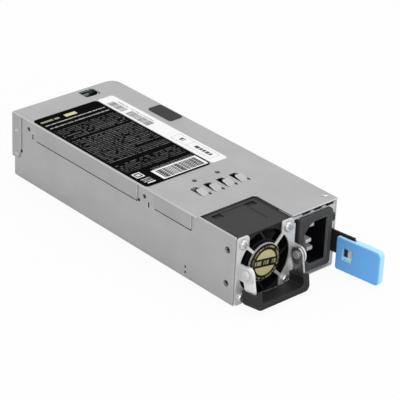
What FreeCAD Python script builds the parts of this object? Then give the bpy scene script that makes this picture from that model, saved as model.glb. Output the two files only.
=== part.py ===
import FreeCAD, Part
import math
import os

import Sketcher

# Hot swap server power supply, 1U common form factor, in millimetres.
# +X is to the right seen from the handle end, +Y runs to the rear, +Z is up.
# The origin is the middle of the bottom face.

SIZES = {
    # sheet metal case
    "case_width": 73.5,
    "case_length": 185.0,
    "case_height": 40.0,
    "tray_sheet": 1.0,
    "lid_sheet": 0.8,
    "seat_gap": 0.1,
    "tray_bend": 1.5,
    "rear_overhang": 1.2,
    "lid_corner": 6.5,
    "lid_bend": 0.7,
    # lid flanges, lengths along the case from its front
    "front_flange_start": 33.0,
    "front_flange_end": 62.2,
    "front_flange_drop": 9.0,
    "middle_flange_start": 76.1,
    "middle_flange_end": 163.5,
    "middle_flange_drop": 10.0,
    "rear_flange_length": 7.6,
    "rear_flange_drop": 21.0,
    "rear_flange_foot": 27.4,
    "rear_flange_step": 2.2,
    "back_flange_drop": 5.0,
    # lanced vents and openings of the lid
    "vent_count": 4,
    "vent_pitch": 9.1,
    "vent_first": 20.3,
    "vent_front": 43.0,
    "vent_hinge": 44.2,
    "vent_back": 54.2,
    "vent_width": 6.0,
    "vent_slit": 0.7,
    "vent_corner": 3.7,
    "tongue_length": 5.2,
    "tongue_rise": 1.5,
    "lid_hole": 1.0,
    "lid_hole_first": 25.8,
    "lid_hole_second": 42.1,
    "lid_hole_back": 59.7,
    "dimple_right": 3.2,
    "dimple_back": 6.4,
    "dimple_radius": 1.6,
    "dimple_rise": 0.35,
    "window_left": 44.4,
    "window_width": 10.8,
    "window_length": 8.8,
    "window_from_back": 2.4,
    "window_corner": 1.6,
    # small openings of the side walls
    "front_hole": 1.15,
    "front_hole_back": 5.3,
    "front_hole_low": 11.8,
    "front_hole_high": 31.1,
    "latch_eye_width": 1.3,
    "latch_eye_height": 1.7,
    "pair_slot_back": 36.0,
    "pair_slot_low": 2.9,
    "pair_slot_high": 6.1,
    "side_slot_width": 1.2,
    "side_slot_height": 3.2,
    "side_slot_drop": 11.2,
    "side_slot_front": 67.1,
    "side_slot_rear": 167.1,
    "side_hole_offset": 3.5,
    "side_hole_drop": 6.0,
    "side_hole": 0.9,
    "foot_notch_back": 30.0,
    "foot_notch_width": 3.0,
    "foot_notch_height": 1.6,
    # fan, 38 mm square and 28 mm deep
    "fan_size": 38.0,
    "fan_depth": 28.0,
    "fan_front": 0.2,
    "fan_wall": 1.0,
    "fan_hole_inset": 3.55,
    "fan_hole": 1.7,
    "fan_corner": 2.2,
    "fan_room": 0.5,
    "fan_dent_left": 8.4,
    "fan_dent_pitch": 23.0,
    "fan_dent_back": 21.9,
    "fan_dent_width": 6.0,
    "fan_dent_length": 3.8,
    "fan_dent_depth": 0.7,
    "fan_panel_back": 7.5,
    "fan_panel_depth": 0.25,
    "motor_base": 12.0,
    "motor_base_front": 1.0,
    "motor_base_sheet": 1.8,
    "strut_count": 4,
    "strut_width": 1.5,
    "strut_depth": 2.3,
    "strut_root": 2.5,
    "strut_tip": 3.0,
    "hub_radius": 11.0,
    "hub_wall": 1.3,
    "hub_front": 3.8,
    "hub_length": 20.0,
    "blade_count": 7,
    "blade_gap": 0.7,
    "blade_front": 6.0,
    "blade_length": 15.0,
    "blade_root_lean": 4.6,
    "blade_tip_lean": 6.4,
    "blade_sheet": 1.1,
    "blade_camber": 1.2,
    "blade_root": 8.6,
    "blade_over": 0.5,
    "shaft_radius": 1.0,
    "shaft_fit": 0.05,
    "bearing_radius": 2.6,
    "coil_radius": 8.9,
    "coil_front": 5.4,
    "coil_length": 11.0,
    "tooth_count": 4,
    "tooth_slot": 2.4,
    # finger guard
    "guard_sheet": 0.9,
    "guard_disc": 10.7,
    "guard_bore": 17.6,
    "guard_spoke": 1.6,
    "guard_tab": 8.0,
    "guard_tab_corner": 1.6,
    "guard_hole": 1.8,
    "guard_gap": 0.1,
    "badge_radius": 9.9,
    "badge_sheet": 0.6,
    "screw_head": 2.85,
    "screw_head_height": 1.7,
    "screw_shank": 1.45,
    "screw_length": 7.0,
    "screw_cross": 3.3,
    "screw_cross_width": 0.9,
    "screw_cross_depth": 0.9,
    # front panel and its openings
    "panel_sheet": 1.0,
    "panel_front": 0.1,
    "panel_flange": 9.0,
    "panel_slot_count": 3,
    "panel_slot_width": 6.2,
    "panel_slot_pitch": 8.4,
    "panel_slot_first": 50.6,
    "panel_slot_height": 1.7,
    # mains inlet, turned on its side
    "inlet_middle": 56.3,
    "inlet_height": 20.2,
    "inlet_flange_width": 24.2,
    "inlet_flange_height": 33.6,
    "inlet_flange_sheet": 2.3,
    "inlet_flange_corner": 2.2,
    "inlet_body_width": 20.6,
    "inlet_body_height": 29.6,
    "inlet_body_depth": 19.5,
    "inlet_fit": 0.15,
    "socket_width": 15.8,
    "socket_height": 24.6,
    "socket_chamfer": 5.2,
    "socket_depth": 16.5,
    "socket_mouth": 0.7,
    "blade_pin_width": 4.0,
    "blade_pin_sheet": 2.0,
    "blade_pin_pitch": 14.0,
    "line_pin_recess": 5.5,
    "earth_pin_recess": 3.0,
    "blade_pin_tail": 4.5,
    "live_offset": 2.0,
    "earth_offset": 4.0,
    "inlet_board_gap": 1.2,
    "inlet_board_width": 22.0,
    "inlet_board_top": 36.0,
    # folding handle, in the frame of its pivots
    "handle_middle": 23.0,
    "handle_width": 37.2,
    "pivot_out": 5.8,
    "pivot_height": 20.0,
    "handle_tilt": 8.0,
    "arm_sheet": 1.2,
    "arm_inset": 0.9,
    "arm_half_width": 4.2,
    "arm_round": 4.0,
    "arm_waist": 3.0,
    "arm_foot_front": 4.6,
    "arm_foot_back": 2.8,
    "arm_seat_depth": 5.4,
    "grip_top": 9.6,
    "grip_bottom": 18.6,
    "grip_front": 6.8,
    "grip_back": 4.2,
    "grip_post": 4.2,
    "grip_bar": 3.3,
    "grip_corner": 3.4,
    "grip_inner_corner": 1.8,
    "grip_edge": 0.5,
    "ear_sheet": 1.0,
    "ear_radius": 4.6,
    "ear_round": 4.3,
    "ear_gap": 0.3,
    "rivet_shank": 1.4,
    "rivet_fit": 0.06,
    "rivet_dome": 2.9,
    "rivet_dome_height": 1.1,
    "rivet_foot": 2.2,
    "rivet_foot_height": 0.5,
    # release latch, a leaf spring along the right wall with a finger tab
    "latch_sheet": 0.8,
    "latch_wall_gap": 0.3,
    "latch_low": 9.4,
    "latch_high": 22.4,
    "latch_anchor": 37.0,
    "latch_tail": 2.5,
    "latch_bend_out": 1.0,
    "latch_splay": 8.0,
    "latch_shoulder": 15.0,
    "latch_reach": 28.5,
    "latch_neck_high": 16.8,
    "tooth_front": 8.0,
    "tooth_back": 13.0,
    "tooth_low": 12.5,
    "tooth_high": 19.0,
    "tooth_out": 3.4,
    "tooth_land": 0.9,
    "tooth_room": 1.6,
    "tab_start": 3.6,
    "tab_length": 28.6,
    "tab_sheet": 4.4,
    "tab_low": 1.1,
    "tab_high": 20.8,
    "tab_corner": 2.8,
    "tab_heel_corner": 1.6,
    "tab_edge": 1.0,
    "tab_fit": 0.1,
    "tab_window_start": 4.6,
    "tab_window_length": 6.2,
    "tab_window_low": 7.8,
    "tab_window_high": 15.2,
    "latch_rivet": 1.0,
    "latch_rivet_head": 1.9,
    "latch_rivet_foot": 1.7,
    "latch_rivet_low": 12.4,
    "latch_rivet_height": 0.6,
    "latch_rivet_pitch": 7.0,
    # status lamp
    "lamp_middle": 70.1,
    "lamp_height": 30.0,
    "lamp_radius": 1.05,
    "lamp_out": 0.7,
    "lamp_length": 9.0,
    # labels on the lid
    "label_sheet": 0.15,
    "label_left": 0.9,
    "label_width": 45.4,
    "label_front": 69.0,
    "label_length": 98.6,
    "label_corner": 2.4,
    "strip_left": 46.9,
    "strip_width": 11.2,
    "patch_left": 62.4,
    "patch_width": 9.6,
    "patch_front": 121.8,
    "patch_length": 19.8,
    "patch_sheet": 0.3,
    # rear panel
    "rear_corner": 5.2,
    "rear_flange": 13.0,
    "card_slot_width": 46.0,
    "card_slot_height": 4.2,
    "rear_vent_count": 12,
    "rear_vent_pitch": 5.0,
    "rear_vent_width": 2.6,
    "rear_vent_low": 18.0,
    "rear_vent_high": 36.0,
    "case_rivet": 1.0,
    "case_rivet_sink": 0.15,
    "case_rivet_foot": 0.4,
    "case_rivet_left": 4.0,
    "case_rivet_right": 11.0,
    "case_rivet_low": 15.0,
    "case_rivet_high": 29.5,
    # circuit boards
    "board_sheet": 1.6,
    "board_bottom": 5.0,
    "board_left": 4.0,
    "board_right": 69.4,
    "board_front": 30.5,
    "board_inlet_front": 20.2,
    "board_step": 43.8,
    "board_hole": 1.5,
    "board_screw_left": 7.2,
    "board_screw_right": 66.2,
    "board_screw_front": 34.5,
    "board_screw_pitch": 55.7,
    "board_screw_rows": 3,
    "board_rear": 13.0,
    "standoff_radius": 2.4,
    "standoff_bore": 1.4,
    "board_screw_head": 2.7,
    "board_screw_height": 1.5,
    "board_screw_shank": 1.3,
    "mylar_sheet": 0.3,
    "part_gap": 0.1,
    # power parts
    "bulk_radius": 12.5,
    "bulk_height": 30.5,
    "bulk_groove": 0.7,
    "bulk_left": 17.4,
    "bulk_front": 48.0,
    "bulk_pitch": 26.2,
    "choke_middle": 55.5,
    "choke_back": 71.0,
    "choke_height": 20.6,
    "choke_core_outer": 11.5,
    "choke_core_inner": 6.0,
    "choke_core_width": 9.0,
    "choke_turns": 18,
    "choke_wire": 0.75,
    "filter_left": 45.0,
    "filter_back": 47.5,
    "filter_width": 18.0,
    "filter_length": 14.0,
    "filter_height": 20.0,
    "filter_limb": 5.0,
    "xcap_left": 45.5,
    "xcap_front": 27.2,
    "xcap_width": 17.5,
    "xcap_length": 8.5,
    "xcap_height": 15.0,
    "fuse_radius": 2.6,
    "fuse_length": 20.0,
    "fuse_left": 66.5,
    "fuse_front": 42.0,
    "heatsink_base": 3.0,
    "heatsink_fin": 1.2,
    "heatsink_height": 27.0,
    "heatsink_depth": 4.6,
    "primary_left": 34.7,
    "primary_front": 40.0,
    "primary_length": 48.0,
    "primary_fins": 9,
    "secondary_left": 8.0,
    "secondary_back": 126.0,
    "secondary_length": 40.0,
    "secondary_fins": 7,
    "switch_width": 10.2,
    "switch_sheet": 4.3,
    "switch_height": 17.0,
    "switch_count": 3,
    "switch_pitch": 15.0,
    "transformer_left": 34.5,
    "transformer_front": 94.0,
    "transformer_width": 30.0,
    "transformer_length": 28.0,
    "transformer_height": 27.0,
    "transformer_depth": 16.0,
    "transformer_limb": 5.0,
    "winding_gap": 0.3,
    "output_cap_radius": 4.0,
    "output_cap_height": 12.0,
    "output_cap_count": 5,
    "output_cap_pitch": 9.6,
    "output_cap_rows": 2,
    "output_cap_left": 14.0,
    "output_cap_front": 140.0,
    "control_left": 8.0,
    "control_front": 94.0,
    "control_length": 30.0,
    "control_height": 26.0,
    "card_left": 15.5,
    "card_width": 43.0,
    "card_front": 28.5,
    "card_out": 9.0,
    "card_bottom": 10.0,
    "contact_count": 20,
    "contact_pitch": 2.0,
    "contact_width": 1.3,
    "contact_length": 7.0,
    "contact_sheet": 0.1,
    "busbar_sheet": 2.0,
    "busbar_width": 8.0,
    "busbar_count": 4,
    "busbar_pitch": 10.5,
    # fan lead
    "lead_radius": 0.6,
    "lead_pitch": 2.0,
    "lead_count": 4,
    "lead_left": 33.0,
    "lead_height": 9.6,
    "plug_length": 5.0,
    "plug_height": 5.6,
}

DOC = FreeCAD.newDocument("HotSwapPowerSupply")


def number(value):
    """The plain number of a size or of a number."""
    return value.value if isinstance(value, Size) else float(value)


def formula(value):
    """The sheet formula of a size, or a number as text."""
    return value.formula if isinstance(value, Size) else repr(float(value))


class Size:
    """A number that remembers the spreadsheet formula that it comes from."""

    def __init__(self, value, text):
        self.value = value
        self.formula = text

    def __add__(self, other):
        return Size(self.value + number(other), f"({self.formula} + {formula(other)})")

    def __radd__(self, other):
        return Size(number(other) + self.value, f"({formula(other)} + {self.formula})")

    def __sub__(self, other):
        return Size(self.value - number(other), f"({self.formula} - {formula(other)})")

    def __rsub__(self, other):
        return Size(number(other) - self.value, f"({formula(other)} - {self.formula})")

    def __mul__(self, other):
        return Size(self.value * number(other), f"({self.formula} * {formula(other)})")

    def __rmul__(self, other):
        return Size(number(other) * self.value, f"({formula(other)} * {self.formula})")

    def __truediv__(self, other):
        return Size(self.value / number(other), f"({self.formula} / {formula(other)})")

    def __neg__(self):
        return Size(-self.value, f"(0 - {self.formula})")


def sine(angle):
    """Sine of a size in degrees."""
    return Size(math.sin(math.radians(angle.value)), f"sin({angle.formula} * 1 deg)")


def cosine(angle):
    """Cosine of a size in degrees."""
    return Size(math.cos(math.radians(angle.value)), f"cos({angle.formula} * 1 deg)")


def driving_sheet():
    """Write every driving size into one spreadsheet, each under its own alias."""
    sheet = DOC.addObject("Spreadsheet::Sheet", "Sizes")
    for row, (alias, value) in enumerate(SIZES.items(), 1):
        sheet.set(f"A{row}", alias)
        sheet.set(f"B{row}", str(value))
        sheet.setAlias(f"B{row}", alias)
    DOC.recompute()


class Sizes:
    """The sheet's sizes by name, such as s.case_width."""

    def __getattr__(self, alias):
        return Size(float(SIZES[alias]), f"Sizes.{alias}")


def bind(thing, name, value):
    """Tie a property to its formula."""
    thing.setExpression(name, formula(value))


# a cylinder's own axis is Z; these turns lay it along each axis
LAID = {
    "x": FreeCAD.Rotation(FreeCAD.Vector(0, 1, 0), 90),
    "y": FreeCAD.Rotation(FreeCAD.Vector(1, 0, 0), -90),
    "z": FreeCAD.Rotation(),
}


class Piece:
    """One sub-part: a body, shaped step by step from sizes."""

    all = []

    def __init__(self, label, place=(0, 0, 0), turn=None):
        self.body = DOC.addObject("PartDesign::Body", label)
        self.body.Label = label
        if turn:
            axis, angle = turn
            rotation = FreeCAD.Rotation(FreeCAD.Vector(*axis), number(angle))
            self.body.Placement = FreeCAD.Placement(FreeCAD.Vector(), rotation)
            self.body.setExpression("Placement.Rotation.Angle", f"{formula(angle)} * 1 deg")
        for letter, value in zip("xyz", place):
            bind(self.body, f"Placement.Base.{letter}", value)
        Piece.all.append(self)

    def origin(self, role):
        """An origin plane or axis of the body."""
        return next(f for f in self.body.Origin.OriginFeatures if f.Role == role)

    def add(self, kind):
        """A new feature at the end of the body."""
        return self.body.newObject(kind, f"{self.body.Name}_{kind.split('::')[1]}")

    def done(self, feature):
        """Make the feature the body's result."""
        self.body.Tip = feature
        return feature

    def block(self, low, high, remove=False, turn=None):
        """A box between two corners, added or removed."""
        box = self.add("PartDesign::SubtractiveBox" if remove else "PartDesign::AdditiveBox")
        if turn:
            axis, angle = turn
            rotation = FreeCAD.Rotation(FreeCAD.Vector(*axis), angle)
            box.Placement = FreeCAD.Placement(FreeCAD.Vector(), rotation)
        for side, letter, a, b in zip(("Length", "Width", "Height"), "xyz", low, high):
            bind(box, side, b - a)
            bind(box, f"Placement.Base.{letter}", a)
        return self.done(box)

    def rod(self, start, axis, radius, length, remove=False):
        """A cylinder from its start along an axis, added or removed."""
        kind = "SubtractiveCylinder" if remove else "AdditiveCylinder"
        rod = self.add(f"PartDesign::{kind}")
        rod.Placement = FreeCAD.Placement(FreeCAD.Vector(), LAID[axis])
        bind(rod, "Radius", radius)
        bind(rod, "Height", length)
        for letter, value in zip("xyz", start):
            bind(rod, f"Placement.Base.{letter}", value)
        return self.done(rod)

    def sketch(self, plane, level):
        """An empty sketch parallel to an origin plane."""
        sketch = self.add("Sketcher::SketchObject")
        sketch.AttachmentSupport = [(self.origin(f"{plane}_Plane"), "")]
        sketch.MapMode = "FlatFace"
        bind(sketch, "AttachmentOffset.Base.z", level)
        return sketch

    def slab(self, plane, outlines, low, high, remove=False):
        """Outlines on a plane, given depth from low to high, added or removed.

        The XZ plane faces -Y, and a pocket goes against its sketch's normal.
        """
        if plane == "XZ":
            level = -low if remove else -high
        else:
            level = high if remove else low
        sketch = self.sketch(plane, level)
        for outline in outlines:
            draw(sketch, outline)
        slab = self.add("PartDesign::Pocket" if remove else "PartDesign::Pad")
        slab.Profile = sketch
        bind(slab, "Length", high - low)
        return self.done(slab)

    def spin(self, plane, outline, axis, remove=False, level=0):
        """An outline turned about an axis of its sketch."""
        sketch = self.sketch(plane, level)
        draw(sketch, outline)
        spin = self.add("PartDesign::Groove" if remove else "PartDesign::Revolution")
        spin.Profile = sketch
        spin.ReferenceAxis = (sketch, [axis])
        spin.Angle = 360
        return self.done(spin)

    def row(self, features, axis, count, pitch):
        """Features repeated along an axis of the body."""
        row = self.add("PartDesign::LinearPattern")
        row.Originals = features
        row.Direction = (self.origin(f"{axis}_Axis"), [""])
        bind(row, "Length", pitch * (count - 1))
        bind(row, "Occurrences", count)
        return self.done(row)

    def ring(self, features, axis, count):
        """Features repeated round an axis of the body."""
        ring = self.add("PartDesign::PolarPattern")
        ring.Originals = features
        ring.Axis = (self.origin(f"{axis}_Axis"), [""])
        ring.Angle = 360
        bind(ring, "Occurrences", count)
        return self.done(ring)

    def dress(self, kind, size, wanted):
        """Fillet or chamfer the edges that the test picks."""
        DOC.recompute()
        base = self.body.Tip
        names = [f"Edge{i}" for i, edge in enumerate(base.Shape.Edges, 1) if wanted(edge)]
        feature = self.add(f"PartDesign::{kind}")
        feature.Base = (base, names)
        bind(feature, "Radius" if kind == "Fillet" else "Size", size)
        return self.done(feature)


def along(edge, letter):
    """True for a straight edge parallel to an axis."""
    if edge.Curve.TypeId != "Part::GeomLine":
        return False
    first, last = edge.Vertexes[0].Point, edge.Vertexes[-1].Point
    step = last - first
    return abs(abs(getattr(step, letter)) - step.Length) < 1e-6


def near(value, target):
    """True where two lengths agree to a hundredth."""
    return abs(value - number(target)) < 0.01


def circle(u, v, radius):
    """A circle for a sketch."""
    return ("circle", u, v, radius)


def rectangle(left, low, right, high, corner=None):
    """The four corners of a rectangle, rounded if a radius is given."""
    points = [(left, low), (right, low), (right, high), (left, high)]
    return [point + (corner,) for point in points] if corner else points


def draw(sketch, outline):
    """Draw a circle, or a closed outline of (u, v) and (u, v, radius) corners."""
    if outline[0] == "circle":
        draw_circle(sketch, *outline[1:])
    else:
        draw_corners(sketch, outline)


def hold(sketch, constraints):
    """Add constraints, each tied to its formula where it has one."""
    indexes = sketch.addConstraint([constraint for constraint, _ in constraints])
    for index, (_, value) in zip(indexes, constraints):
        if isinstance(value, Size):
            sketch.setExpression(f"Constraints[{index}]", value.formula)


def placed(geometry, point, u, v):
    """The two constraints that hold a point of a sketch."""
    across = Sketcher.Constraint("DistanceX", -1, 1, geometry, point, number(u))
    up = Sketcher.Constraint("DistanceY", -1, 1, geometry, point, number(v))
    return [(across, u), (up, v)]


def draw_circle(sketch, u, v, radius):
    """A circle held at its centre and by its radius."""
    centre = FreeCAD.Vector(number(u), number(v), 0)
    ring = Part.Circle(centre, FreeCAD.Vector(0, 0, 1), number(radius))
    index = sketch.addGeometry(ring, False)
    size = Sketcher.Constraint("Radius", index, number(radius))
    hold(sketch, placed(index, 3, u, v) + [(size, radius)])


def corner_arc(before, corner, after, radius):
    """The rounding of a corner: its arc, its two ends, and if it turns left."""
    back = (before - corner).normalize()
    ahead = (after - corner).normalize()
    half = back.getAngle(ahead) / 2
    start = corner + back * (radius / math.tan(half))
    end = corner + ahead * (radius / math.tan(half))
    middle = corner + (back + ahead).normalize() * (radius / math.sin(half))
    left = (corner - before).cross(after - corner).z > 0
    first, last = (start, end) if left else (end, start)
    first_angle = math.atan2(first.y - middle.y, first.x - middle.x)
    last_angle = math.atan2(last.y - middle.y, last.x - middle.x)
    ring = Part.Circle(middle, FreeCAD.Vector(0, 0, 1), radius)
    return Part.ArcOfCircle(ring, first_angle, last_angle), start, end, left


def draw_corners(sketch, corners):
    """Straight lines between corners, with tangent arcs at the rounded ones."""
    points = [FreeCAD.Vector(number(c[0]), number(c[1]), 0) for c in corners]
    count = len(corners)
    starts, ends, arcs = list(points), list(points), {}
    for i, corner in enumerate(corners):
        if len(corner) > 2:
            after = points[(i + 1) % count]
            arc, ends[i], starts[i], left = corner_arc(points[i - 1], points[i], after, number(corner[2]))
            arcs[i] = (arc, left)
    lines = []
    for i in range(count):
        line = Part.LineSegment(starts[i], ends[(i + 1) % count])
        lines.append(sketch.addGeometry(line, False))
    rules = []
    for i, corner in enumerate(corners):
        before, after = lines[i - 1], lines[i]
        if i not in arcs:
            rules.append((Sketcher.Constraint("Coincident", before, 2, after, 1), None))
            rules += placed(after, 1, corner[0], corner[1])
            continue
        arc, left = arcs[i]
        bend = sketch.addGeometry(arc, False)
        apex = sketch.addGeometry(Part.Point(points[i]), True)
        first, last = (1, 2) if left else (2, 1)
        rules += placed(apex, 1, corner[0], corner[1])
        rules.append((Sketcher.Constraint("PointOnObject", apex, 1, before), None))
        rules.append((Sketcher.Constraint("PointOnObject", apex, 1, after), None))
        rules.append((Sketcher.Constraint("Tangent", before, 2, bend, first), None))
        rules.append((Sketcher.Constraint("Tangent", bend, last, after, 1), None))
        rules.append((Sketcher.Constraint("Radius", bend, number(corner[2])), corner[2]))
    hold(sketch, rules)


s = Sizes()

# faces of the case
LEFT = -s.case_width / 2
RIGHT = s.case_width / 2
FRONT = -s.case_length / 2
REAR = s.case_length / 2
TRAY_HALF = s.case_width / 2 - s.lid_sheet - s.seat_gap
INNER_HALF = TRAY_HALF - s.tray_sheet
TRAY_REAR = REAR - s.rear_overhang
LID_UNDER = s.case_height - s.lid_sheet
WALL_TOP = LID_UNDER - s.seat_gap
FLOOR = s.tray_sheet + s.seat_gap
PANEL_LOW = s.tray_bend

# the fan's place, at the left of the front
FAN_X = -INNER_HALF + s.seat_gap * 2 + s.fan_size / 2
FAN_Z = s.case_height / 2
FAN_FRONT = FRONT + s.fan_front
FAN_RIGHT = FAN_X + s.fan_size / 2
BAY_RIGHT = FAN_RIGHT + s.fan_room
BAY_BACK = FAN_FRONT + s.fan_depth + s.fan_room
HOLE_HALF = s.fan_size / 2 - s.fan_hole_inset
BORE = s.fan_size / 2 - s.fan_wall

# the other fixed planes
PANEL_FRONT = FRONT + s.panel_front
PANEL_BACK = PANEL_FRONT + s.panel_sheet
GUARD_BACK = FRONT - s.guard_gap
GUARD_FRONT = GUARD_BACK - s.guard_sheet
PIVOT_Y = FRONT - s.pivot_out
HANDLE_X = LEFT + s.handle_middle
INLET_X = LEFT + s.inlet_middle
ARM_OUT = s.handle_width / 2 - s.arm_inset
EAR_OUT = ARM_OUT + s.ear_gap + s.ear_sheet
LATCH_OUTER = INNER_HALF - s.latch_wall_gap
LATCH_INNER = LATCH_OUTER - s.latch_sheet
BEND_Y = FRONT - s.latch_bend_out
BOARD_TOP = s.board_bottom + s.board_sheet
HALF_RIGHT_SINE = 0.5**0.5
SEAT = BOARD_TOP + s.part_gap


def across(distance):
    """A place that far from the case's left side."""
    return LEFT + distance


def back(distance):
    """A place that far from the case's front."""
    return FRONT + distance


def board_screws_places():
    """The places of the main board's screws."""
    rows = [s.board_screw_front + s.board_screw_pitch * i for i in range(int(s.board_screw_rows.value))]
    return [(across(x), back(y)) for x in (s.board_screw_left, s.board_screw_right) for y in rows]


def chassis_tray():
    """The folded tray: floor and side walls in one sheet, open for the fan."""
    tray = Piece("chassis_tray")
    inner_bend = s.tray_bend - s.tray_sheet
    section = [
        (-TRAY_HALF, WALL_TOP),
        (-TRAY_HALF, 0, s.tray_bend),
        (TRAY_HALF, 0, s.tray_bend),
        (TRAY_HALF, WALL_TOP),
        (INNER_HALF, WALL_TOP),
        (INNER_HALF, s.tray_sheet, inner_bend),
        (-INNER_HALF, s.tray_sheet, inner_bend),
        (-INNER_HALF, WALL_TOP),
    ]
    tray.slab("XZ", [section], FRONT, TRAY_REAR)
    raised_end = BAY_BACK - s.seat_gap * 2
    tray.block((-TRAY_HALF, FRONT, WALL_TOP), (-INNER_HALF, raised_end, s.case_height))
    tray.block((-INNER_HALF, FRONT, 0), (BAY_RIGHT, BAY_BACK, s.tray_bend), remove=True)
    for height in (s.front_hole_low, s.front_hole_high):
        tray.rod((LEFT, back(s.front_hole_back), height), "x", s.front_hole, s.case_width, remove=True)
    for low in (s.pair_slot_low, s.pair_slot_high):
        start = back(s.pair_slot_back)
        end = start + s.latch_eye_width
        tray.block((LEFT, start, low), (RIGHT, end, low + s.latch_eye_height), remove=True)
    for place in (s.side_slot_front, s.side_slot_rear):
        side_openings(tray, back(place))
    start = back(s.foot_notch_back)
    end = start + s.foot_notch_width
    tray.block((-TRAY_HALF, start, 0), (-INNER_HALF, end, s.foot_notch_height), remove=True)
    tray.block((INNER_HALF, start, 0), (TRAY_HALF, end, s.foot_notch_height), remove=True)
    low = (INNER_HALF, back(s.tooth_front) - s.tooth_room, s.tooth_low - s.tooth_room / 2)
    high = (TRAY_HALF, back(s.tooth_back) + s.tooth_room / 2, s.tooth_high + s.tooth_room / 2)
    tray.block(low, high, remove=True)
    rivet_holes(tray, s.latch_rivet + s.rivet_fit, INNER_HALF, TRAY_HALF)
    case_rivet_holes(tray)
    wall_end = TRAY_REAR - s.rear_corner - s.rear_overhang
    tray.block((INNER_HALF, wall_end, s.tray_bend), (TRAY_HALF, TRAY_REAR, WALL_TOP), remove=True)
    corner_cut(tray, TRAY_HALF, TRAY_REAR, s.rear_corner, 0, s.tray_bend)


def corner_cut(piece, right, rear, radius, low, high):
    """Take off what stands outside a rounded rear right corner."""
    beyond = radius * 0.5
    outline = [
        (right - radius - beyond, rear),
        (right, rear, radius),
        (right, rear - radius - beyond),
        (right + beyond, rear - radius - beyond),
        (right + beyond, rear + beyond),
        (right - radius - beyond, rear + beyond),
    ]
    piece.slab("XY", [outline], low, high, remove=True)


def side_openings(tray, place):
    """A slot and a round hole in both walls, where a lid flange ends."""
    low = s.case_height - s.side_slot_drop
    high = low + s.side_slot_height
    half = s.side_slot_width / 2
    tray.block((LEFT, place - half, low), (RIGHT, place + half, high), remove=True)
    hole = (LEFT, place + s.side_hole_offset, s.case_height - s.side_hole_drop)
    tray.rod(hole, "x", s.side_hole, s.case_width, remove=True)


def rivet_holes(piece, radius, low, high):
    """The latch's two rivet holes, from one X to another."""
    for height in (s.latch_rivet_low, s.latch_rivet_low + s.latch_rivet_pitch):
        piece.rod((low, back(s.latch_anchor), height), "x", radius, high - low, remove=True)


def case_rivet_holes(piece):
    """The holes of the rear rivets, at the left and at the right."""
    radius = s.case_rivet + s.rivet_fit
    for height in (s.case_rivet_low, s.case_rivet_high):
        start = (LEFT, REAR - s.case_rivet_left, height)
        piece.rod(start, "x", radius, s.case_width / 4, remove=True)
        start = (RIGHT - s.case_width / 4, REAR - s.case_rivet_right, height)
        piece.rod(start, "x", radius, s.case_width / 4, remove=True)


def top_lid():
    """The lid: plate, side flanges, lanced vents and service window."""
    lid = Piece("top_lid")
    plate = [
        (BAY_RIGHT, FRONT),
        (RIGHT, FRONT),
        (RIGHT, REAR, s.lid_corner),
        (LEFT, REAR),
        (LEFT, BAY_BACK),
        (BAY_RIGHT, BAY_BACK, s.fan_corner),
    ]
    lid.slab("XY", [plate], LID_UNDER, s.case_height)
    flanges = [
        (s.front_flange_start, s.front_flange_end, s.front_flange_drop),
        (s.middle_flange_start, s.middle_flange_end, s.middle_flange_drop),
    ]
    for start, end, drop in flanges:
        low = s.case_height - drop
        lid.block((LEFT, back(start), low), (LEFT + s.lid_sheet, back(end), LID_UNDER))
        lid.block((RIGHT - s.lid_sheet, back(start), low), (RIGHT, back(end), LID_UNDER))
    rear_start = REAR - s.rear_flange_length
    foot = s.case_height - s.rear_flange_foot
    rear_flange = [
        (rear_start, s.case_height - s.rear_flange_drop),
        (rear_start + s.rear_flange_step, foot),
        (REAR, foot),
        (REAR, LID_UNDER),
        (rear_start, LID_UNDER),
    ]
    lid.slab("YZ", [rear_flange], LEFT, LEFT + s.lid_sheet)
    back_low = (LEFT, REAR - s.lid_sheet, s.case_height - s.back_flange_drop)
    lid.block(back_low, (RIGHT - s.lid_corner, REAR, LID_UNDER))
    lid.dress("Fillet", s.lid_bend, outer_top_edge)
    lid_vents(lid)
    for place in (s.lid_hole_first, s.lid_hole_second):
        start = (across(place), back(s.lid_hole_back), LID_UNDER)
        lid.rod(start, "z", s.lid_hole, s.lid_sheet, remove=True)
    far = REAR - s.window_from_back
    left = across(s.window_left)
    window = rectangle(left, far - s.window_length, left + s.window_width, far, s.window_corner)
    lid.slab("XY", [window], LID_UNDER, s.case_height, remove=True)
    case_rivet_holes(lid)
    dimple = (RIGHT - s.dimple_right, back(s.dimple_back), s.case_height)
    lid.rod(dimple, "z", s.dimple_radius, s.dimple_rise)
    crown = s.case_height + s.dimple_rise
    lid.dress("Fillet", s.dimple_rise * 0.9, lambda edge: near(edge.CenterOfMass.z, crown))


def outer_top_edge(edge):
    """True for the lid's upper edge along its sides, its back and its round corner."""
    if any(not near(v.Z, s.case_height) for v in edge.Vertexes):
        return False
    middle = edge.CenterOfMass
    at_side = near(abs(middle.x), RIGHT)
    at_back = near(middle.y, REAR)
    round_corner = middle.y > number(REAR - s.lid_corner) and middle.x > number(RIGHT - s.lid_corner)
    return at_side or at_back or round_corner


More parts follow.
